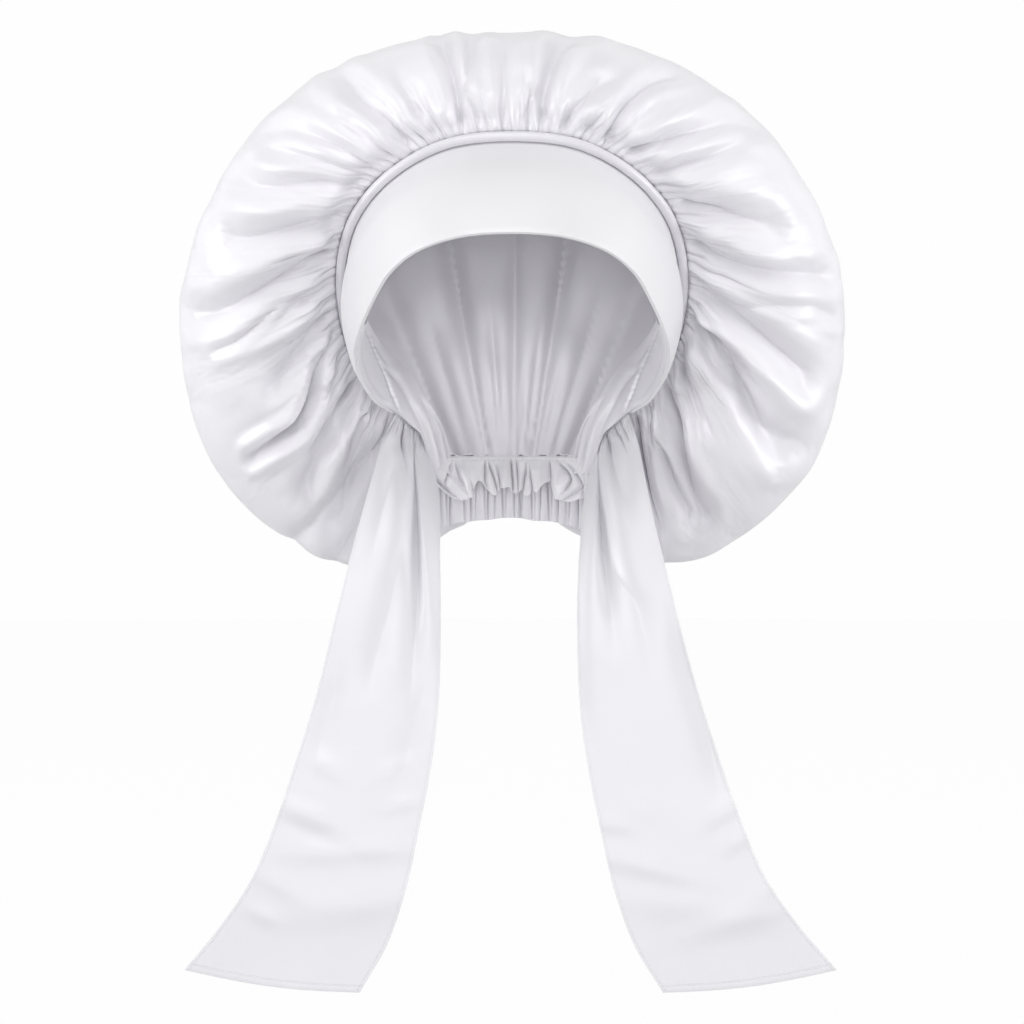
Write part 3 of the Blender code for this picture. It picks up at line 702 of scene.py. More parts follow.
# Settling of the crown: frames, the steps where the cloth starts to be held and is held wholly,
# and how the cloth behaves
SETTLE_FRAMES = 12
SETTLE_HELD_FROM = 1.12
SETTLE_END = 1.32
SETTLE_CLOTH = {
    "quality": 5, "mass": 0.02, "tension_stiffness": 40.0, "compression_stiffness": 40.0,
    "shear_stiffness": 5.0, "bending_stiffness": 0.02, "bending_model": "ANGULAR",
    "tension_damping": 0.6, "compression_damping": 0.6, "shear_damping": 0.6,
    "bending_damping": 0.1, "air_damping": 1.0, "time_scale": 2.0, "use_pressure": True,
    "uniform_pressure_force": 6.0, "vertex_group_mass": "held", "pin_stiffness": 0.5,
}
# Where the settled shape gives way to the plain one toward the back, in steps, and how far from
# the seam the broad part of the movement starts to be taken out
SETTLE_BACK = (1.1, SETTLE_END)
SETTLE_SEAM = (4.0, 16.0)
# Fullness of the cut beyond the sewn size: at the seam, how far it reaches, and all over
GATHER_AT_SEAM = 0.65
GATHER_REACH = 34.0
GATHER_ALL = 0.07
# Blurs of the cut's widths and radius, in columns, and its least slope
CUT_WIDTH_BLUR = 9
CUT_RADIUS_BLUR = 6
CUT_LEAST_RISE = 0.1


def settle(obj, cut, held):
    """Let a gathered sheet relax as cloth under slight pressure; cut holds its unstrained shape."""
    held_group = obj.vertex_groups.new(name="held")
    for weight in np.unique(held.round(2)):
        if weight > 0.0:
            members = np.nonzero(np.abs(held - weight) < 0.005)[0]
            held_group.add([int(v) for v in members], float(weight), "REPLACE")
    obj.shape_key_add(name="sewn")
    flat = obj.shape_key_add(name="cut")
    flat.data.foreach_set("co", (cut * MM).ravel())
    flat.value = 0.0
    modifier = obj.modifiers.new("settle", "CLOTH")
    cloth = modifier.settings
    cloth.rest_shape_key = flat
    for setting, value in SETTLE_CLOTH.items():
        setattr(cloth, setting, value)
    cloth.effector_weights.gravity = 0.0
    modifier.collision_settings.use_collision = False
    modifier.collision_settings.use_self_collision = False
    modifier.point_cache.frame_start = 1
    modifier.point_cache.frame_end = SETTLE_FRAMES
    scene = bpy.context.scene
    for number in range(1, SETTLE_FRAMES + 1):
        scene.frame_set(number)
    made = obj.evaluated_get(bpy.context.evaluated_depsgraph_get())
    after = np.empty(len(obj.data.vertices) * 3)
    made.data.vertices.foreach_get("co", after)
    scene.frame_set(1)
    return after.reshape(-1, 3) / MM


def blur(size, tails):
    """Steps to each side and the weights of a blur."""
    reach = np.arange(-tails * size, tails * size + 1)
    weights = np.exp(-0.5 * (reach / size) ** 2)
    return reach, weights / weights.sum()


def smooth_round(values, size):
    """Blur round the crown, and the grid's columns close on themselves."""
    return sum(w * np.roll(values, int(k), axis=0) for k, w in zip(*blur(size, 3)))


def smooth_down(values, size):
    """Blur from seam to back, with the first and last rows going on."""
    last = values.shape[1] - 1
    rows = np.arange(last + 1)
    return sum(w * values[:, np.clip(rows + k, 0, last)] for k, w in zip(*blur(size, 2)))


def gathered_cut(base, arc, edge):
    """Unstrained shape of the crown's cloth, wound on a drum: longer round than the crown is."""
    widths = np.linalg.norm(np.roll(base, -1, axis=0) - base, axis=-1)
    widths = smooth_round(widths, CUT_WIDTH_BLUR)
    fullness = 1.0 + GATHER_ALL + GATHER_AT_SEAM * np.exp(-arc / GATHER_REACH)
    turn = widths[:, edge] / widths[:, edge].sum() * 2 * math.pi
    angle = np.concatenate(([0.0], np.cumsum(turn)[:-1]))[:, None]
    radius = smooth_round(fullness * widths / turn[:, None], CUT_RADIUS_BLUR)
    down = np.diff(arc, axis=1)
    least = (CUT_LEAST_RISE * down) ** 2
    rise = np.sqrt(np.maximum(down ** 2 - np.diff(radius, axis=1) ** 2, least))
    depth = np.concatenate((np.zeros((len(base), 1)), np.cumsum(rise, axis=1)), axis=1)
    return np.stack((radius * np.cos(angle), depth, radius * np.sin(angle)), axis=-1)


def settled_points(base, points, arc, steps, normals):
    """The crown's front after its cloth has relaxed, with its broad shape kept."""
    rows = int(np.searchsorted(steps, SETTLE_END)) + 1
    sheet = sheet_grid("crown cloth settling", points[:, :rows], wraps=True)
    places = np.empty(len(sheet.data.vertices), dtype=int)
    sheet.data.attributes["place"].data.foreach_get("value", places)
    column, row = places // rows, places % rows
    held = np.where(row < 2, 1.0, ease(SETTLE_HELD_FROM, SETTLE_END, steps[row]))
    cut = gathered_cut(base[:, :rows], arc[:, :rows], widest_row(steps))
    made = points.copy()
    made[column, row] = settle(sheet, cut[column, row], held)
    bpy.data.objects.remove(sheet)
    height = ((made - base) * normals).sum(-1)
    aim = ((points - base) * normals).sum(-1)
    broad = smooth_down(smooth_round(height - aim, BROAD_COLUMNS), BROAD_ROWS)
    made = made - normals * (broad * ease(*SETTLE_SEAM, arc))[..., None]
    return points + (made - points) * fade(*SETTLE_BACK, steps)[None, :, None]


# Stitch lines of a tie: the way they are measured, place from the middle, half width, count, depth
TIE_STITCHES = (("X", 0.480, 0.0035, 150.0, 0.3), ("Y", 0.4895, 0.0011, 34.0, 0.2))
# Fine creases of the crown's cloth: repeats round, repeats from seam to back, detail,
# depth, and the shares from seam to back where they start to fade and have gone
FINE_CREASES = ((230.0, 6.0, 1.0, 2.2, 0.04, 0.30), (75.0, 7.0, 2.0, 1.6, 0.30, 0.75))
FINE_CREASE_WANDER = 0.25
STITCH_GAP = -0.4
WHITE = (1.0, 1.0, 1.0, 1.0)
# Satin: its uneven tone and gloss in clouds, and its weave
CLOUD_SCALE = 14.0
CLOUD_DETAIL = 3.0
CLOUD_EDGES = (0.35, 0.65)
CLOUD_SHADES = (0.975, 1.0)
GLOSS_SPREAD = (0.03, 0.05)
SHEEN = 0.25
SHEEN_ROUGHNESS = 0.45
WEAVE_SCALE = 1400.0
WEAVE_STRETCH = (1.0, 1.0, 0.35)
WEAVE_RELIEF = 0.04
WEAVE_DEPTH = 0.2


def set_sockets(tree, node, sockets):
    """Set each socket to a constant, or join it to the output of another node."""
    for socket, value in sockets.items():
        if isinstance(value, bpy.types.NodeSocket):
            tree.links.new(value, node.inputs[socket])
        else:
            node.inputs[socket].default_value = value


def add_node(tree, kind, sockets, **settings):
    node = tree.nodes.new(kind)
    for setting, value in settings.items():
        setattr(node, setting, value)
    set_sockets(tree, node, sockets)
    return node


def maths(tree, operation, *values):
    """Output of a math node; each value is a number or another node's output."""
    sockets = dict(enumerate(values))
    return add_node(tree, "ShaderNodeMath", sockets, operation=operation).outputs["Value"]


def add_bump(tree, height, depth, strength=1.0, invert=False):
    sockets = {"Strength": strength, "Distance": depth * MM, "Height": height}
    return add_node(tree, "ShaderNodeBump", sockets, invert=invert)


def satin(name, colour, roughness=0.42, specular=0.5, metallic=0.12, fine_creases=(), stitches=()):
    """White satin: soft sheen, a fine weave, and slight unevenness of tone."""
    material = bpy.data.materials.new(name)
    material.use_nodes = True
    tree = material.node_tree
    place = add_node(tree, "ShaderNodeTexCoord", {}).outputs["Object"]
    cloud = add_node(tree, "ShaderNodeTexNoise",
                     {"Scale": CLOUD_SCALE, "Detail": CLOUD_DETAIL, "Vector": place}).outputs["Fac"]
    tone = add_node(tree, "ShaderNodeValToRGB", {"Fac": cloud})
    for element, edge, shade in zip(tone.color_ramp.elements, CLOUD_EDGES, CLOUD_SHADES):
        element.color = (*[c * shade for c in colour], 1.0)
        element.position = edge
    gloss = add_node(tree, "ShaderNodeMapRange", {
        "To Min": roughness - GLOSS_SPREAD[0], "To Max": roughness + GLOSS_SPREAD[1], "Value": cloud})
    stretch = add_node(tree, "ShaderNodeMapping", {"Scale": WEAVE_STRETCH, "Vector": place})
    thread = add_node(tree, "ShaderNodeTexNoise", {
        "Scale": WEAVE_SCALE, "Detail": 1.0, "Vector": stretch.outputs["Vector"]})
    relief = add_bump(tree, thread.outputs["Fac"], WEAVE_DEPTH, WEAVE_RELIEF)
    set_sockets(tree, tree.nodes["Principled BSDF"], {
        "Metallic": metallic, "Specular IOR Level": specular, "Sheen Weight": SHEEN,
        "Sheen Roughness": SHEEN_ROUGHNESS, "Base Color": tone.outputs["Color"],
        "Roughness": gloss.outputs["Result"], "Normal": relief.outputs["Normal"]})
    under = [crease_bump(tree, *row) for row in fine_creases]
    under += [stitch_bump(tree, *row) for row in stitches]
    for bump in under:
        set_sockets(tree, relief, {"Normal": bump.outputs["Normal"]})
        relief = bump
    return material


def crease_bump(tree, across, along, detail, depth, full, gone):
    """Creases that run along a sheet's UV map, deepest near one edge, as a bump node."""
    uv = add_node(tree, "ShaderNodeUVMap", {}).outputs["UV"]
    stretch = add_node(tree, "ShaderNodeMapping", {"Scale": (across, along, 1.0), "Vector": uv})
    streak = add_node(tree, "ShaderNodeTexNoise", {
        "Scale": 1.0, "Detail": detail, "Distortion": FINE_CREASE_WANDER,
        "Vector": stretch.outputs["Vector"]})
    parts = add_node(tree, "ShaderNodeSeparateXYZ", {"Vector": uv})
    share = add_node(tree, "ShaderNodeMapRange", {
        "From Min": full, "From Max": gone, "To Min": 1.0, "To Max": 0.0,
        "Value": parts.outputs["Y"]}, interpolation_type="SMOOTHSTEP")
    height = maths(tree, "MULTIPLY", streak.outputs["Fac"], share.outputs["Result"])
    return add_bump(tree, height, depth)


def stitch_bump(tree, axis, place, half, count, depth):
    """A line of stitches sunk at one place across a sheet's UV map, on both sides of its middle."""
    uv = add_node(tree, "ShaderNodeUVMap", {}).outputs["UV"]
    parts = add_node(tree, "ShaderNodeSeparateXYZ", {"Vector": uv}).outputs
    across, along = (parts["X"], parts["Y"]) if axis == "X" else (parts["Y"], parts["X"])
    away = maths(tree, "ABSOLUTE", maths(tree, "SUBTRACT", across, 0.5))
    line = maths(tree, "COMPARE", away, place, half)
    wave = maths(tree, "SINE", maths(tree, "MULTIPLY", along, 2 * math.pi * count))
    dash = maths(tree, "GREATER_THAN", wave, STITCH_GAP)
    return add_bump(tree, maths(tree, "MULTIPLY", line, dash), depth, invert=True)


def dress(obj, material, slot, *nodes):
    """Give a piece its satin, its place in the frame, and the solids that it stands for."""
    obj.data.materials.append(material)
    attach(obj, BODY)
    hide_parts(*nodes)


def picture_scale(depth):
    """Millimetres to one picture step at a depth."""
    return PICTURE_STEP * (1.0 + depth / CAMERA_FAR)


def picture_place(points):
    """Where points stand in the picture, across and down."""
    scale = picture_scale(points[..., 1])
    middle = PICTURE_SIDE / 2
    return middle + points[..., 0] / scale, middle - (points[..., 2] - CAMERA_HEIGHT) / scale


def creases(across, down, tables, sharp=1.5):
    """Depth of creases; a row is place down, place across, depth, and half widths to each side."""
    total = np.zeros(across.shape)
    for table in tables:
        knots, places, depths, befores, afters = np.array(table, dtype=float).T
        away = across - smooth_between(knots, places, down)
        before, after = np.interp(down, knots, befores), np.interp(down, knots, afters)
        reach = np.abs(away) / np.where(away < 0.0, before, after)
        total += np.interp(down, knots, depths) * np.exp(-reach ** sharp)
    return total


def bumps(across, down, rows):
    """Soft bumps: place across, place down, half length, half width, turn in degrees, height."""
    total = np.zeros(across.shape)
    for x, y, long, wide, turn, high in rows:
        cosine, sine = math.cos(math.radians(turn)), math.sin(math.radians(turn))
        u = (across - x) * cosine - (down - y) * sine
        v = (across - x) * sine + (down - y) * cosine
        total += high * np.exp(-(u / long) ** 2 - (v / wide) ** 2)
    return total


def make_crown(material):
    points = crown_points()
    thin = np.nonzero(crown_steps() > HALF_COLUMNS_FROM)[0] + len(TUCKED_ROWS)
    points[:, thin] = np.repeat(points[::2, thin], 2, axis=0)
    points[:, -1] = CROWN_BACK
    crown = sheet_grid("crown_cloth", points, wraps=True, split=True)
    wall(crown, CLOTH)
    dress(crown, material, "crown_satin", "crown")


# Band: cells along and across, rolled edge, shares of its width over which it goes under the
# piping, and the shares across where it starts to sink and is sunk
BAND_GRID = (168, 18)
BAND_EDGE = 0.7
BAND_WIDE = (0.4, 0.75)
BAND_BACK = 0.95
BAND_SINK_FROM = (0.55, 0.95)


def band_points():
    """Grid of the band, from tip to tip by front edge to seam, tucked under the piping."""
    shares = grid_shares(BAND_GRID[0])
    front = smooth_curve(both_sides(FRONT_EDGE), shares)
    seam = smooth_curve(both_sides(BACK_SEAM), shares)
    along = unit(smooth_curve(both_sides(BACK_SEAM), shares + SMALL_SHARE)
                 - smooth_curve(both_sides(BACK_SEAM), shares - SMALL_SHARE))
    across_seam = front - seam
    square = unit(across_seam - along * (across_seam * along).sum(-1, keepdims=True))
    fullness = np.minimum(np.linalg.norm(across_seam, axis=-1) / BAND_BOW_WIDTH, 1.0)
    wide = ease(*BAND_WIDE, fullness)[:, None]
    back = seam + square * (PIPING_RADIUS * BAND_BACK - BAND_UNDER_PIPING * wide)
    across = grid_shares(BAND_GRID[1])[None, :, None]
    swell = BAND_BOW * np.sin(math.pi * across) * fullness[:, None, None]
    outward = unit(front + back)[:, None, :]
    face = np.cross(along, square)
    face = face * np.sign((face * outward[:, 0]).sum(-1, keepdims=True))
    sink = (1.0 + (PIPING_SINK - 1.0) * wide[:, None]) * ease(*BAND_SINK_FROM, across)
    return (front[:, None] + (back - front)[:, None] * across + outward * swell
            - face[:, None] * sink)


def make_band(material):
    band = sheet_grid("front_band_cloth", band_points())
    wall(band, BAND_CLOTH, BAND_EDGE)
    dress(band, material, "band_satin", "front_band")


# Piping: cells round and along, and slight unevenness of its thickness
PIPING_GRID = (14, 300)
PIPING_UNEVEN = 0.012
PIPING_WAVES = (0.9, 0.37)


def make_piping(material):
    sides, stations = PIPING_GRID
    centre = smooth_curve(both_sides(BACK_SEAM), grid_shares(stations))
    tangent = unit(np.gradient(centre, axis=0))
    outward = unit(centre - (centre * tangent).sum(-1, keepdims=True) * tangent)
    binormal = np.cross(tangent, outward)
    angle = (2 * math.pi * np.arange(sides) / sides)[:, None, None]
    waves = [PIPING_UNEVEN * np.sin(np.arange(stations + 1) * often) for often in PIPING_WAVES]
    radius = PIPING_ROUND * (1.0 + waves[0] + waves[1])
    ring = np.cos(angle) * outward[None] + np.sin(angle) * binormal[None]
    piping = sheet_grid("piping_cord", centre[None] + ring * radius[None, :, None], wraps=True)
    dress(piping, material, "piping_satin", "piping")


# Facing: cells along and across, cloth, and the reach of each form along it or across it
FACING_GRID = (280, 54)
FACING_CLOTH = 1.0
FACING_EDGE = 0.3
FACING_END_SHIFT = 6.0
FACING_END_SHIFT_FROM = (0.72, 1.0)
FACING_END_DROP = 9.0
FACING_END_DROP_FROM = (0.87, 1.0)
FACING_SEWN_END = (0.62, 0.7)
FACING_SEWN_REACH = (0.0, 0.12)
FACING_SEWN_OUT = 0.9
FACING_SEAM_DEPTH = 0.8
FACING_SEAM_SHARPNESS = 1.6
FACING_WRINKLE_DEPTH = 1.25
FACING_WRINKLE_SHARPNESS = 1.8
FACING_FRONT_BUILD = (0.0, 0.05)
FACING_BACK_FADE = (0.93, 1.0)
FACING_BACK_SHARE = 0.6
# Puckers of the facing's seam: height, turns to a picture step, shift from side to side
FACING_PUCKERS = ((0.11, 1.15, 1.0), (0.08, 0.63, 2.0))
# Seam and wrinkles of the left facing, in picture places
FACING_SEAM = (
    ((328, 365.4, 0, 1.6, 1.6), (334, 367.8, 1.1, 1.6, 1.6), (357, 377, 1.3, 1.7, 1.7),
     (378, 386, 1.3, 1.7, 1.7), (392, 390.8, 1.3, 1.7, 1.7), (405, 396.3, 1.2, 1.6, 1.6),
     (413, 399, 0.8, 1.5, 1.5)),
)
FACING_WRINKLES = (
    ((396, 419, 0, 2, 2), (415, 430, 1.4, 2, 3), (435, 437, 1.9, 2, 2.5), (452, 443, 1.6, 2, 2),
     (462, 447, 1, 2, 2)),
    ((405, 430, 0, 2, 2), (425, 440, 1, 1.5, 2), (445, 447.5, 1.6, 1.5, 2), (462, 453, 1.4, 1.5, 2)),
    ((386, 401, 0, 3, 3), (402, 409, 0.9, 3, 4), (420, 419, 1.2, 3, 4), (440, 428, 1.2, 3, 3),
     (460, 436, 0.8, 3, 3)),
    ((362, 380, 0, 3, 3), (374, 391, 1.1, 3, 6), (388, 402, 0.9, 4, 6), (404, 413, 0, 4, 5)),
    ((334, 372, 0, 2, 2), (346, 376, 0.7, 2, 3), (360, 384, 0.7, 2, 4), (372, 392, 0, 3, 4)),
    ((350, 362, 0, 3, 3), (366, 366, 0.6, 3, 5), (384, 373, 0.7, 4, 5), (402, 386, 0.3, 4, 4)),
)


def facing_points(side):
    """Grid of a facing, drawn for the right side; its creases follow the picture's left one."""
    shares = grid_shares(FACING_GRID[0])
    front = smooth_curve(facing_front(), shares)
    back = smooth_curve(FACING_BACK, shares)
    back[:, 0] -= FACING_END_SHIFT * ease(*FACING_END_SHIFT_FROM, shares)
    across = grid_shares(FACING_GRID[1])[None, :, None]
    points = front[:, None] + (back - front)[:, None] * across
    sewn = fade(*FACING_SEWN_END, shares)[:, None, None]
    points += head_outward(points) * FACING_SEWN_OUT * fade(*FACING_SEWN_REACH, across) * sewn
    x, y = picture_place(points * np.array((-1.0, 1.0, 1.0)))
    seam = creases(x, y, FACING_SEAM, FACING_SEAM_SHARPNESS)
    puckers = [high * np.sin(y * often + shift * side) for high, often, shift in FACING_PUCKERS]
    wrinkles = creases(x, y, FACING_WRINKLES, FACING_WRINKLE_SHARPNESS)
    relief = (FACING_SEAM_DEPTH * seam + np.sqrt(seam) * (puckers[0] + puckers[1])
              + FACING_WRINKLE_DEPTH * wrinkles)
    relief *= (ease(*FACING_FRONT_BUILD, across[..., 0])
               * (1.0 - FACING_BACK_SHARE * ease(*FACING_BACK_FADE, across[..., 0])))
    points += head_outward(points) * relief[..., None]
    points[..., 2] -= FACING_END_DROP * ease(*FACING_END_DROP_FROM, shares)[:, None]
    return points * np.array((side, 1.0, 1.0))


def make_facing(material, side, name, node):
    facing = sheet_grid(name, facing_points(side))
    wall(facing, FACING_CLOTH, FACING_EDGE)
    dress(facing, material, "lining_satin", node)


# Strips of the nape: cells along and down, cloth, and the turning above the stitches
NAPE_GRID = (440, 36)
NAPE_CLOTH = 0.7
NAPE_EDGE = 0.2
NAPE_SHOULDER_ROWS = 6
NAPE_SHOULDER = 1.3
NAPE_REACH = 1.05
NAPE_FLARE_CURVE = 1.5
NAPE_TURNING_UNDER = 0.7
RUFFLE_DEPTH = 1.35
RUFFLE_SHARPNESS = 1.4
RUFFLE_AT_STITCHES = 0.3
RUFFLE_BUILD = (0.0, 0.22)
# Stitch line of the nape: depth, place under the seam, half width, turns to a picture step
NAPE_STITCH = 0.7
NAPE_STITCH_PLACE = 0.6
NAPE_STITCH_HALF = 0.6
NAPE_STITCH_TURNS = 1.3
NAPE_STITCH_LEAST = 0.3
CASING_LAYER = -0.6
RUFFLE_FLARE = 9.0
RUFFLE_CREASE_LEAST = 1.5
RUFFLE_CREASE_MORE = 1.2
RUFFLE_LEAN = 1.2
RUFFLE_LEAN_TURN = 2.3
# Hems of the casing and the ruffle, as picture places across and down
CASING_HEM = (
    (436, 479), (440, 485), (446, 491), (452, 496), (458, 499), (464, 500), (470, 498), (474, 494.5),
    (475.5, 487), (478, 482), (482.5, 482), (486, 486.5), (491, 492.5), (497, 494.5), (499.5, 489.5),
    (504, 488.4), (510, 488), (512.5, 492), (518, 492.5), (522, 490), (524, 494), (529, 494.5),
    (531.5, 488.5), (534, 491.5), (537, 492), (541, 486), (546, 482.5), (550, 483.5), (551.5, 490),
    (554, 496.5), (560, 500), (568, 502), (574, 500), (580, 498), (588, 494),
)
RUFFLE_HEM = (
    (436, 533), (444, 528.5), (450, 526.6), (456, 526), (460, 524.4), (467, 522.6), (475, 521.8),
    (484, 520.2), (492, 519.8), (500, 518.4), (508, 517.6), (516, 517.8), (524, 519), (530, 520.6),
    (538, 521), (546, 521.6), (552, 523), (558, 525), (565, 527), (572, 529.4), (580, 531.2), (590, 534),
)
# Creases and puffs of the casing, in picture places
CASING_CREASES = (
    ((472, 434, 1.5, 2, 2), (483, 441, 3.4, 2.5, 2), (490, 448, 3, 2.5, 2), (496, 455, 2, 3, 2),
     (500, 462, 0.5, 3, 2)),
    ((459, 453, 0.5, 1.5, 1.5), (464, 451, 2.8, 1.5, 1.5), (472, 448.5, 3.6, 2, 1.5),
     (480, 446.5, 3, 2, 2), (489, 447, 0, 2, 2)),
    ((460, 455, 0.5, 1.5, 2), (468, 457, 2.4, 1.5, 2), (478, 460, 2, 1.8, 2), (490, 465, 1, 2, 2),
     (499, 468, 0, 2, 2)),
    ((476, 468, 0, 1.5, 1.5), (486, 471, 1.8, 1.5, 1.5), (494, 474, 2, 1.5, 1.2), (500, 475, 1, 1.5, 1)),
    ((458, 485.5, 0.5, 1.2, 1.2), (464, 485.5, 2.6, 1.3, 1.2), (474, 485.5, 3, 1.6, 1.2),
     (483, 486, 1.8, 2.2, 1), (490, 489, 0, 2, 1)),
    ((458, 488.5, 0.5, 1, 1), (466, 490, 2.8, 1.2, 1.1), (476, 493.5, 3, 1.4, 1.1),
     (486, 496.5, 2.6, 1.4, 1.1), (495, 498, 1.5, 1.4, 1)),
    ((461, 495, 0, 1.2, 1.4), (472, 498, 1.8, 1.2, 1.6), (484, 500, 2.4, 1.2, 1.6),
     (492, 500.5, 1.5, 1, 1.5)),
    ((457, 510.5, 1, 1.2, 1.2), (462, 511, 3.4, 1.3, 1.3), (474, 512, 3.6, 1.4, 1.3),
     (486, 512.8, 3, 1.3, 1.3), (494, 513, 1.5, 1.2, 1.2)),
    ((457, 516, 0.6, 1, 1), (462, 516.5, 2.6, 1.1, 1.1), (476, 517.5, 2.6, 1.2, 1.1),
     (488, 518, 1.8, 1.1, 1.1), (494, 518, 1, 1, 1)),
    ((460, 527, 0.3, 1.2, 1.2), (472, 525.5, 2.6, 1.5, 1.3), (482, 524, 2.8, 1.6, 1.3),
     (493, 523, 1.4, 1.4, 1.2)),
    ((462, 529, 0.3, 1.2, 1.2), (476, 530.5, 2.4, 1.3, 1.3), (488, 532, 2.6, 1.3, 1.6),
     (495, 532, 1.5, 1.3, 1.5)),
    ((459, 549, 0.4, 1.4, 1.2), (466, 550, 2.6, 1.6, 1.3), (476, 551, 2.6, 2.2, 1.3),
     (484, 551, 1.4, 3, 1.5), (494, 551, 0.5, 3, 1.5)),
    ((459, 556, 0.4, 1.5, 1.5), (464, 560, 2.4, 1.6, 1.6), (472, 567, 3.2, 2, 1.6),
     (480, 570, 3.2, 2, 1.6), (488, 566, 2.4, 2.2, 2), (496, 560, 0, 2, 2)),
    ((461, 565, 0.3, 1.5, 1.5), (470, 573, 2.8, 1.6, 1.6), (480, 579, 2.8, 2.2, 1.6), (492, 583, 1, 2, 2)),
    ((484, 584, 1, 3, 2), (491, 577, 2, 3, 2), (498, 566, 1.8, 3, 2), (502, 560, 0.5, 3, 2)),
    ((458, 465, 0, 7, 6), (470, 466, -2.6, 8, 7), (486, 467, -3.4, 8, 6), (500, 466, -2.4, 8, 6)),
    ((458, 505, 0, 5, 4), (470, 505, -1.6, 5, 4), (492, 505.5, -1.8, 5, 4)),
    ((458, 541, 0, 7, 7), (470, 540, -2.4, 8, 7), (486, 539, -3, 6, 7), (496, 538, -2, 6, 7)),
    ((460, 558, 0, 5, 4), (472, 559, -2.6, 6, 5), (486, 558, -3.2, 6, 6), (500, 560, -2.4, 6, 6)),
    ((458, 442, 0, 5, 5), (470, 441, -1.8, 5, 5), (482, 452, -2.2, 5, 4), (496, 462, -1, 5, 4)),
)
RUFFLE_CREASE_PLACES = (
    441.5, 446.5, 452.5, 464, 471, 477, 484, 489, 495.5, 501.5, 507, 514, 519, 523, 530.5, 535, 541, 546.5,
    552, 558, 564, 570, 577, 583,
)
# A crease of the ruffle: place down, share of its lean, share of its depth, two half widths
RUFFLE_CREASE = (
    (457, 0.0, 0.6, 1.2, 1.2), (480, 0.4, 1.0, 1.4, 1.3), (505, 1.0, 1.0, 1.8, 1.5),
    (522, 1.3, 0.55, 2.4, 1.8),
)


def ruffle_creases():
    """Creases of the outer ruffle, which lean apart toward its hem."""
    tables = []
    for k, place in enumerate(RUFFLE_CREASE_PLACES):
        deep = RUFFLE_CREASE_LEAST + RUFFLE_CREASE_MORE * ((k * 7) % 5) / 4
        lean = RUFFLE_LEAN * math.sin(k * RUFFLE_LEAN_TURN)
        tables.append([(down, place + lean_share * lean, deep_share * deep, before, after)
                       for down, lean_share, deep_share, before, after in RUFFLE_CREASE])
    return tables


def nape_points(layer, flare, hem, tables):
    """Grid of a strip gathered on the stitch line, with a narrow turning above the stitches."""
    above = 1.0 - np.arange(NAPE_SHOULDER_ROWS) / NAPE_SHOULDER_ROWS
    below = grid_shares(NAPE_GRID[1] - NAPE_SHOULDER_ROWS)
    up = np.concatenate((above, np.zeros(len(below))))[None, :]
    down = np.concatenate((np.zeros(len(above)), below))[None, :]
    stitched = smooth_curve(both_sides(nape_rows()[::-1]), grid_shares(NAPE_GRID[0]))
    path = np.repeat(stitched[:, None], up.shape[1], axis=1)
    out = layer * NAPE_LAYER + flare * down ** NAPE_FLARE_CURVE
    scale = picture_scale(stitched[:, 1] + layer * NAPE_LAYER + flare)
    low = smooth_between(*np.array(hem, dtype=float).T, PICTURE_SIDE / 2 + stitched[:, 0] / scale)
    hem_height = CAMERA_HEIGHT + (PICTURE_SIDE / 2 - low) * scale
    points = path + head_outward(path) * out[..., None]
    points[..., 0] *= NAPE_REACH
    points[..., 2] += (hem_height[:, None] - NAPE_HEIGHT) * down + NAPE_SHOULDER * up
    x, y = picture_place(points)
    relief = RUFFLE_DEPTH * creases(x, y, tables, RUFFLE_SHARPNESS)
    relief = relief * at_least(RUFFLE_AT_STITCHES, ease(*RUFFLE_BUILD, down))
    off_line = (points[..., 2] - NAPE_HEIGHT + NAPE_STITCH_PLACE) / NAPE_STITCH_HALF
    stitches = (NAPE_STITCH * np.exp(-off_line ** 2)
                * at_least(NAPE_STITCH_LEAST, np.sin(x * NAPE_STITCH_TURNS) ** 2))
    turning = (NAPE_RIM_LAYERS - NAPE_TURNING_UNDER - layer * NAPE_LAYER) * up ** NAPE_FLARE_CURVE
    return points + head_outward(points) * (relief + stitches + turning)[..., None]


def make_nape_strip(material, name, node, slot, points):
    strip = sheet_grid(name, points)
    wall(strip, NAPE_CLOTH, NAPE_EDGE)
    dress(strip, material, slot, node)


# Ties: cells across and down, and the reach of each form as shares of the length
TIE_GRID = (124, 170)
TIE_EDGE = 0.3
TIE_CROWDING = 1.25
TIE_SEAM_SHARE = 0.15
TIE_HEM_SAG = 3.0
TIE_HEM_SAG_POWER = 6
TIE_RELIEF = 1.05
TIE_BOW = -3.0
TIE_BOW_BUILD = (0.0, 0.06)
TIE_BOW_FADE = (0.1, 0.6)
TIE_HEM_FLAT = 0.6
TIE_HEM_FROM = (0.95, 1.0)
# Gathers where the tie is sewn on: count, stray, then the ranges of reach, half width and depth
TIE_PUCKERS = 26
TIE_PUCKER_STRAY = 0.012
TIE_PUCKER_REACH = (0.018, 0.05)
TIE_PUCKER_HALF = (0.007, 0.011)
TIE_PUCKER_DEPTH = (1.0, 2.2)
TIE_PUCKER_SPREAD = 1.5
TIE_PUCKER_FADE_FROM = 0.2
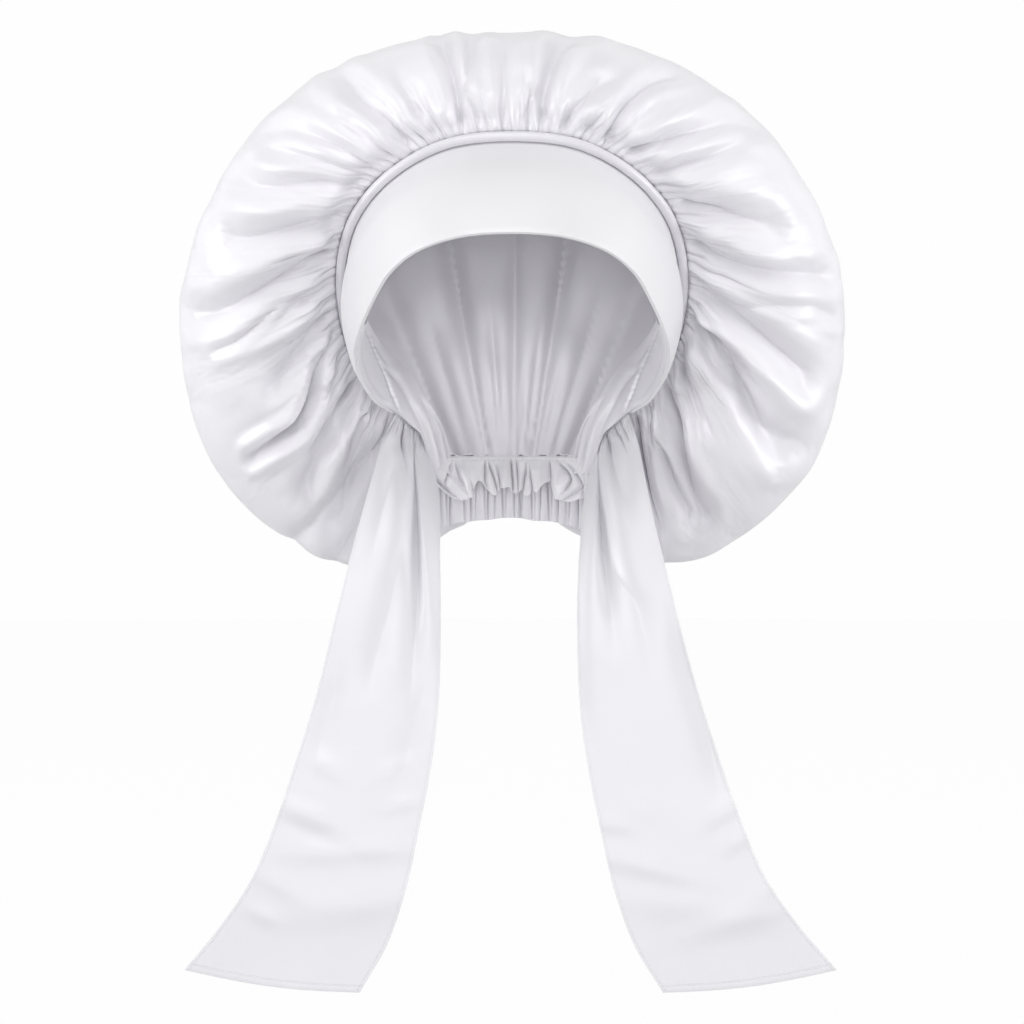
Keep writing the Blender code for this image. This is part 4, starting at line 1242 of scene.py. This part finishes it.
# Creases of each tie in picture places: down, across, depth, half widths to the left and right
TIE_CREASES = {
    -1: (
        ((414, 398.5, 0, 2, 1), (420, 395.5, 2.2, 2.5, 1.2), (428, 390, 3, 2.5, 1.3),
         (436, 385, 2.8, 2.5, 1.3), (443, 381, 2, 2.5, 1.4), (452, 377.5, 0, 3, 2)),
        ((416, 402.3, 0.8, 1, 1), (422, 403, 4, 1.4, 1.2), (430, 402.6, 5.6, 1.8, 1.4),
         (437, 401.6, 6.6, 3, 1.8), (445, 401.4, 6.4, 5, 2.6), (455, 403, 4.4, 6, 3.5),
         (468, 405.5, 2.4, 7, 5), (486, 404, 1, 8, 6), (505, 400, 0, 8, 7)),
        ((419, 408, 0.6, 0.9, 0.9), (425, 408.5, 1.6, 1, 1), (438, 409, 0, 1.2, 1.2)),
        ((422, 412, 1, 1.1, 1), (428, 413.4, 3.2, 1.4, 1.1), (445, 413.4, 3.4, 1.4, 1.2),
         (460, 414, 3.4, 1.5, 1.2), (480, 415.5, 4.4, 5.5, 1.6), (500, 416.8, 6, 8.5, 1.8),
         (520, 417.6, 7.4, 11, 2), (540, 418.2, 8.2, 12.5, 2.4), (560, 418.5, 8.2, 13.5, 3),
         (590, 418.5, 7.2, 15, 4.5), (625, 416.5, 5.4, 17, 8), (665, 413, 2.8, 18, 12),
         (705, 409, 0, 18, 14)),
        ((428, 418, 0.6, 1.4, 1.4), (440, 420, 2.8, 3, 3), (454, 420.5, 1.6, 4, 4), (474, 421, 0, 5, 5)),
        ((432, 427, 0.4, 1.2, 1.2), (446, 429, 1.4, 2, 2), (460, 430, 0, 3, 3)),
        ((455, 396, 0, 6, 6), (478, 390, 1.5, 7, 7), (500, 385, 1.8, 8, 8), (530, 378, 1.2, 9, 9),
         (580, 368, 0, 10, 10)),
        ((538, 403, 0, 10, 10), (570, 396, 2.2, 13, 12), (612, 388, 3.4, 15, 14), (652, 377, 3, 16, 16),
         (705, 366, 0, 16, 16)),
        ((480, 438, 0, 6, 6), (520, 439, 2.4, 8, 8), (570, 440, 3.6, 9, 9), (640, 441, 2.6, 11, 11),
         (730, 440, 0, 12, 12)),
        ((640, 342, 0, 12, 10), (690, 334, 2.2, 14, 12), (740, 322, 1.6, 14, 12), (790, 308, 0, 14, 12)),
        ((640, 434, 0, 9, 9), (700, 421, 1.4, 14, 12), (750, 408, 1.6, 14, 12), (800, 398, 0, 12, 12)),
    ),
    1: (
        ((431, 588, 0.8, 1.1, 1.1), (438, 588.5, 2.8, 1.2, 1.2), (448, 588, 0, 1.6, 1.6)),
        ((432, 591.5, 0.4, 1.6, 1.6), (446, 593, 3.8, 3.2, 2.8), (458, 592, 3.2, 3.8, 3.4),
         (476, 590, 1.5, 5, 4), (505, 588, 0, 5, 5)),
        ((421, 598, 0.8, 1.1, 1.1), (430, 599, 3, 1.3, 1.2), (445, 599.3, 3.2, 1.4, 1.2),
         (465, 599, 3.4, 1.4, 1.4), (485, 599, 4.4, 1.6, 5.5), (500, 599.4, 6, 1.8, 8.5),
         (515, 600, 7.4, 2.1, 11), (530, 601, 8, 2.6, 12.5), (547, 602.5, 8, 3.6, 13.5),
         (568, 605, 7, 5.5, 14), (594, 609, 5, 8.5, 14), (625, 613, 2, 11, 13), (665, 616, 0, 12, 14)),
        ((417, 604, 0.8, 1, 1), (426, 605.5, 3, 1.2, 1.2), (436, 607.5, 5, 1.5, 2.2),
         (442, 609, 6.6, 1.9, 5), (450, 611, 6, 3.2, 6), (461, 613.5, 3.8, 5, 7), (482, 619, 2, 7, 8),
         (505, 625, 1, 8, 9), (535, 632, 0, 9, 9)),
        ((413, 608.5, 0.8, 1, 1), (424, 614, 3.4, 1.2, 1.1), (432, 618, 4, 1.3, 1.2),
         (440, 622.5, 2.8, 1.5, 1.4), (452, 628, 0, 2, 2)),
        ((408, 616, 0.8, 1.1, 1.1), (418, 620, 2.6, 1.2, 1.1), (430, 625, 2.6, 1.3, 1.3),
         (442, 630, 0, 2, 2)),
        ((545, 612, 0, 9, 9), (575, 619, 2.2, 10, 12), (600, 634, 2.8, 12, 14), (640, 646, 1.5, 14, 14),
         (690, 654, 0, 14, 14)),
        ((430, 582, 0, 5, 5), (520, 580, 2.6, 7, 7), (600, 579, 3.4, 8, 8), (680, 580, 2.2, 9, 9),
         (760, 590, 0, 9, 9)),
        ((600, 672, 0, 9, 9), (650, 682, 3, 12, 9), (710, 702, 3.6, 13, 9), (770, 716, 1.8, 13, 11),
         (800, 722, 0, 12, 12)),
    ),
}
# Soft waves low on each tie: place across, down, half length, half width, turn, height
TIE_WAVES = {
    -1: ((306, 813, 34, 10, -20, 1.8), (326, 766, 30, 11, -25, 1.3), (392, 770, 28, 10, 25, 1),
     (352, 850, 66, 11, 2, 1.4), (402, 804, 28, 8, 12, 0.9), (318, 838, 36, 9, -22, -1),
     (278, 884, 30, 10, -30, 0.9), (352, 905, 70, 18, 8, 1.2), (262, 915, 16, 7, -25, 0.8)),
    1: ((613, 824, 20, 9, -10, 1.3), (722, 812, 26, 10, 28, 1.4), (739, 839, 20, 9, 35, 1.2),
     (652, 867, 58, 12, -14, 1.6), (640, 806, 34, 14, -10, 1), (738, 920, 54, 13, 16, 1.2),
     (690, 905, 64, 18, -6, 1.1), (764, 892, 22, 9, 35, 0.9)),
}


def tie_points(side):
    """Grid of a tie, from its outer to its inner edge by seam to hem."""
    rows = np.array(TIE_ROWS)
    if side > 0:
        rows[:, 0] -= rows[:, 6]
        rows[:, 3] -= rows[:, 7]
    across = grid_shares(TIE_GRID[0])
    share = grid_shares(TIE_GRID[1]) ** TIE_CROWDING
    outer = smooth_curve(rows[:, :3], share)
    inner = smooth_curve(rows[:, 3:6], share)
    points = outer[None] + (inner - outer)[None] * across[:, None, None]
    seam = smooth_curve(facing_front(), across, len(FACING_BACK) - len(TIE_SEAM))
    seam = seam + head_outward(seam) * TIE_LAYER
    straight = rows[0, :3] + (rows[0, 3:6] - rows[0, :3]) * across[:, None]
    points = points + (seam - straight)[:, None] * fade(0.0, TIE_SEAM_SHARE, share)[None, :, None]
    bow = np.sin(math.pi * across)[:, None]
    points[..., 2] -= TIE_HEM_SAG * share ** TIE_HEM_SAG_POWER * bow
    points = points * np.array((side, 1.0, 1.0))
    x, y = picture_place(points)
    relief = TIE_RELIEF * creases(x, y, TIE_CREASES[side]) - bumps(x, y, TIE_WAVES[side])
    relief = relief + seam_puckers(across[:, None], share[None, :])
    body = TIE_BOW * bow * fade(*TIE_BOW_FADE, share) * ease(*TIE_BOW_BUILD, share)
    points[..., 1] += body + relief * (1.0 - TIE_HEM_FLAT * ease(*TIE_HEM_FROM, share))
    return points


def seam_puckers(across, share):
    """Tiny gathers where the tie is sewn to the facing."""
    rng = np.random.default_rng(5)
    depth = np.zeros((across.shape[0], share.shape[1]))
    for place in (np.arange(TIE_PUCKERS) + 0.5) / TIE_PUCKERS:
        centre = place + rng.uniform(-TIE_PUCKER_STRAY, TIE_PUCKER_STRAY)
        reach = rng.uniform(*TIE_PUCKER_REACH)
        size = rng.uniform(*TIE_PUCKER_HALF) * (1.0 + TIE_PUCKER_SPREAD * share / reach)
        depth += (rng.uniform(*TIE_PUCKER_DEPTH) * np.exp(-((across - centre) / size) ** 2)
                  * fade(TIE_PUCKER_FADE_FROM * reach, reach, share))
    return depth


def make_tie(material, side, name, node):
    tie = sheet_grid(name, tie_points(side))
    wall(tie, CLOTH, TIE_EDGE)
    dress(tie, material, "tie_satin", node)


def make_camera():
    camera = bpy.data.cameras.new("camera")
    camera.sensor_width = SENSOR
    camera.lens = SENSOR * -CAMERA_PLACE[1] / (PICTURE_SIDE * PICTURE_METRES_PER_PIXEL)
    obj = add_object("camera", camera)
    obj.location = CAMERA_PLACE
    obj.rotation_euler = (math.radians(90.0), 0.0, 0.0)
    bpy.context.scene.camera = obj


def camera_mix(tree, share, plain, seen, output):
    """Show the camera more of a second shader, and leave the first to all other light."""
    mix = add_node(tree, "ShaderNodeMixShader", {0: share, 1: plain, 2: seen})
    set_sockets(tree, tree.nodes[output], {"Surface": mix.outputs["Shader"]})


def make_floor():
    mesh = bmesh.new()
    bmesh.ops.create_circle(mesh, cap_ends=True, segments=96, radius=FLOOR_RADIUS)
    bmesh.ops.translate(mesh, verts=mesh.verts, vec=(0.0, 0.0, FLOOR_HEIGHT))
    floor = add_object("floor", filled(mesh, "floor"))
    material = bpy.data.materials.new("pale floor")
    material.use_nodes = True
    tree = material.node_tree
    shader = tree.nodes["Principled BSDF"]
    set_sockets(tree, shader, {"Base Color": (*FLOOR_COLOUR, 1.0), "Roughness": 0.9,
                               "Specular IOR Level": 0.1})
    glow = add_node(tree, "ShaderNodeEmission", {"Color": WHITE})
    seen = add_node(tree, "ShaderNodeLightPath", {}).outputs["Is Camera Ray"]
    camera_mix(tree, maths(tree, "MULTIPLY", seen, FLOOR_GLOW), shader.outputs["BSDF"],
               glow.outputs["Emission"], "Material Output")
    floor.data.materials.append(material)


# Softboxes: name, place, size, watts, and the place they are turned to
BONNET_MIDDLE = (0.0, 0.05, -0.02)
SOFTBOXES = (
    ("high front softbox", (-0.3, -1.85, 1.76), (2.0, 1.2), 23.0, BONNET_MIDDLE),
    ("high back softbox", (0.0, 1.5, 2.0), (2.0, 1.0), 4.0, BONNET_MIDDLE),
    ("front softbox", (0.1, -2.7, 0.2), (1.8, 0.9), 11.0, BONNET_MIDDLE),
    ("inside softbox", (0.0, 0.10, 0.005), (0.13, 0.03), 0.038, (0.0, 0.18, -0.078)),
)
# Softboxes in pairs, left and right: name, place of the right one, size, watts
SOFTBOX_PAIRS = (
    ("back softbox", (1.8, 1.3, 0.4), (1.2, 2.0), 5.5),
    ("side softbox", (2.2, -0.4, 0.4), (0.8, 1.6), 6.5),
    ("low softbox", (2.0, -0.5, -0.25), (0.8, 0.4), 9.0),
)


def make_softbox(name, place, size, watts, aim):
    light = bpy.data.lights.new(name, "AREA")
    light.shape = "RECTANGLE"
    light.size, light.size_y = size
    light.energy = watts
    obj = add_object(name, light)
    obj.location = place
    obj.rotation_euler = (Vector(aim) - Vector(place)).to_track_quat("-Z", "Y").to_euler()


def make_lights():
    """White studio: an even sky, a brighter backdrop that only the camera sees, and softboxes."""
    scene = bpy.context.scene
    scene.world = bpy.data.worlds.new("studio")
    scene.world.use_nodes = True
    tree = scene.world.node_tree
    sky = tree.nodes["Background"]
    set_sockets(tree, sky, {"Color": WHITE, "Strength": SKY_STRENGTH})
    backdrop = add_node(tree, "ShaderNodeBackground", {"Color": WHITE, "Strength": BACKDROP_GLOW})
    seen = add_node(tree, "ShaderNodeLightPath", {}).outputs["Is Camera Ray"]
    camera_mix(tree, seen, sky.outputs["Background"], backdrop.outputs["Background"],
               "World Output")
    for row in SOFTBOXES:
        make_softbox(*row)
    for name, (x, y, z), size, watts in SOFTBOX_PAIRS:
        for word, side in (("left ", -1), ("right ", 1)):
            make_softbox(word + name, (side * x, y, z), size, watts, BONNET_MIDDLE)
    scene.view_settings.view_transform = "Standard"
    scene.view_settings.look = "None"


make_camera()
make_lights()
make_floor()
crown_satin = satin("crown satin", (0.80, 0.79, 0.825), specular=0.42, metallic=0.08,
                    fine_creases=FINE_CREASES)
# Painted shade: the band is the same white satin, made a little darker here to give its sides a greyer
# tone.
band_satin = satin("band satin", (0.775, 0.77, 0.795), roughness=0.48)
piping_satin = satin("piping satin", (0.735, 0.725, 0.76))
# Painted light: the lining is the same white satin, made a little brighter here to lighten the shaded nape
# casing.
lining_satin = satin("lining satin", (0.83, 0.82, 0.85))
# Painted shade: the facings are the lining's white satin, made darker here to stand for the shade inside
# the bonnet.
shaded_facing_satin = satin("shaded facing satin", (0.80, 0.79, 0.825))
# Painted shade: the ties are the same white satin, made darker here so that the ties, lit full on, come
# out greyer.
tie_satin = satin("tie satin", (0.755, 0.75, 0.78), stitches=TIE_STITCHES)
make_crown(crown_satin)
make_band(band_satin)
make_piping(piping_satin)
make_facing(shaded_facing_satin, -1, "side_facing_left_cloth", "side_facing_left")
make_facing(shaded_facing_satin, 1, "side_facing_right_cloth", "side_facing_right")
casing = nape_points(CASING_LAYER, 0.0, CASING_HEM, CASING_CREASES)
make_nape_strip(lining_satin, "nape_casing_cloth", "nape_casing", "lining_satin", casing)
ruffle = nape_points(1, RUFFLE_FLARE, RUFFLE_HEM, ruffle_creases())
make_nape_strip(crown_satin, "nape_ruffle_cloth", "nape_ruffle", "crown_satin", ruffle)
make_tie(tie_satin, -1, "tie_left_cloth", "tie_left")
make_tie(tie_satin, 1, "tie_right_cloth", "tie_right")
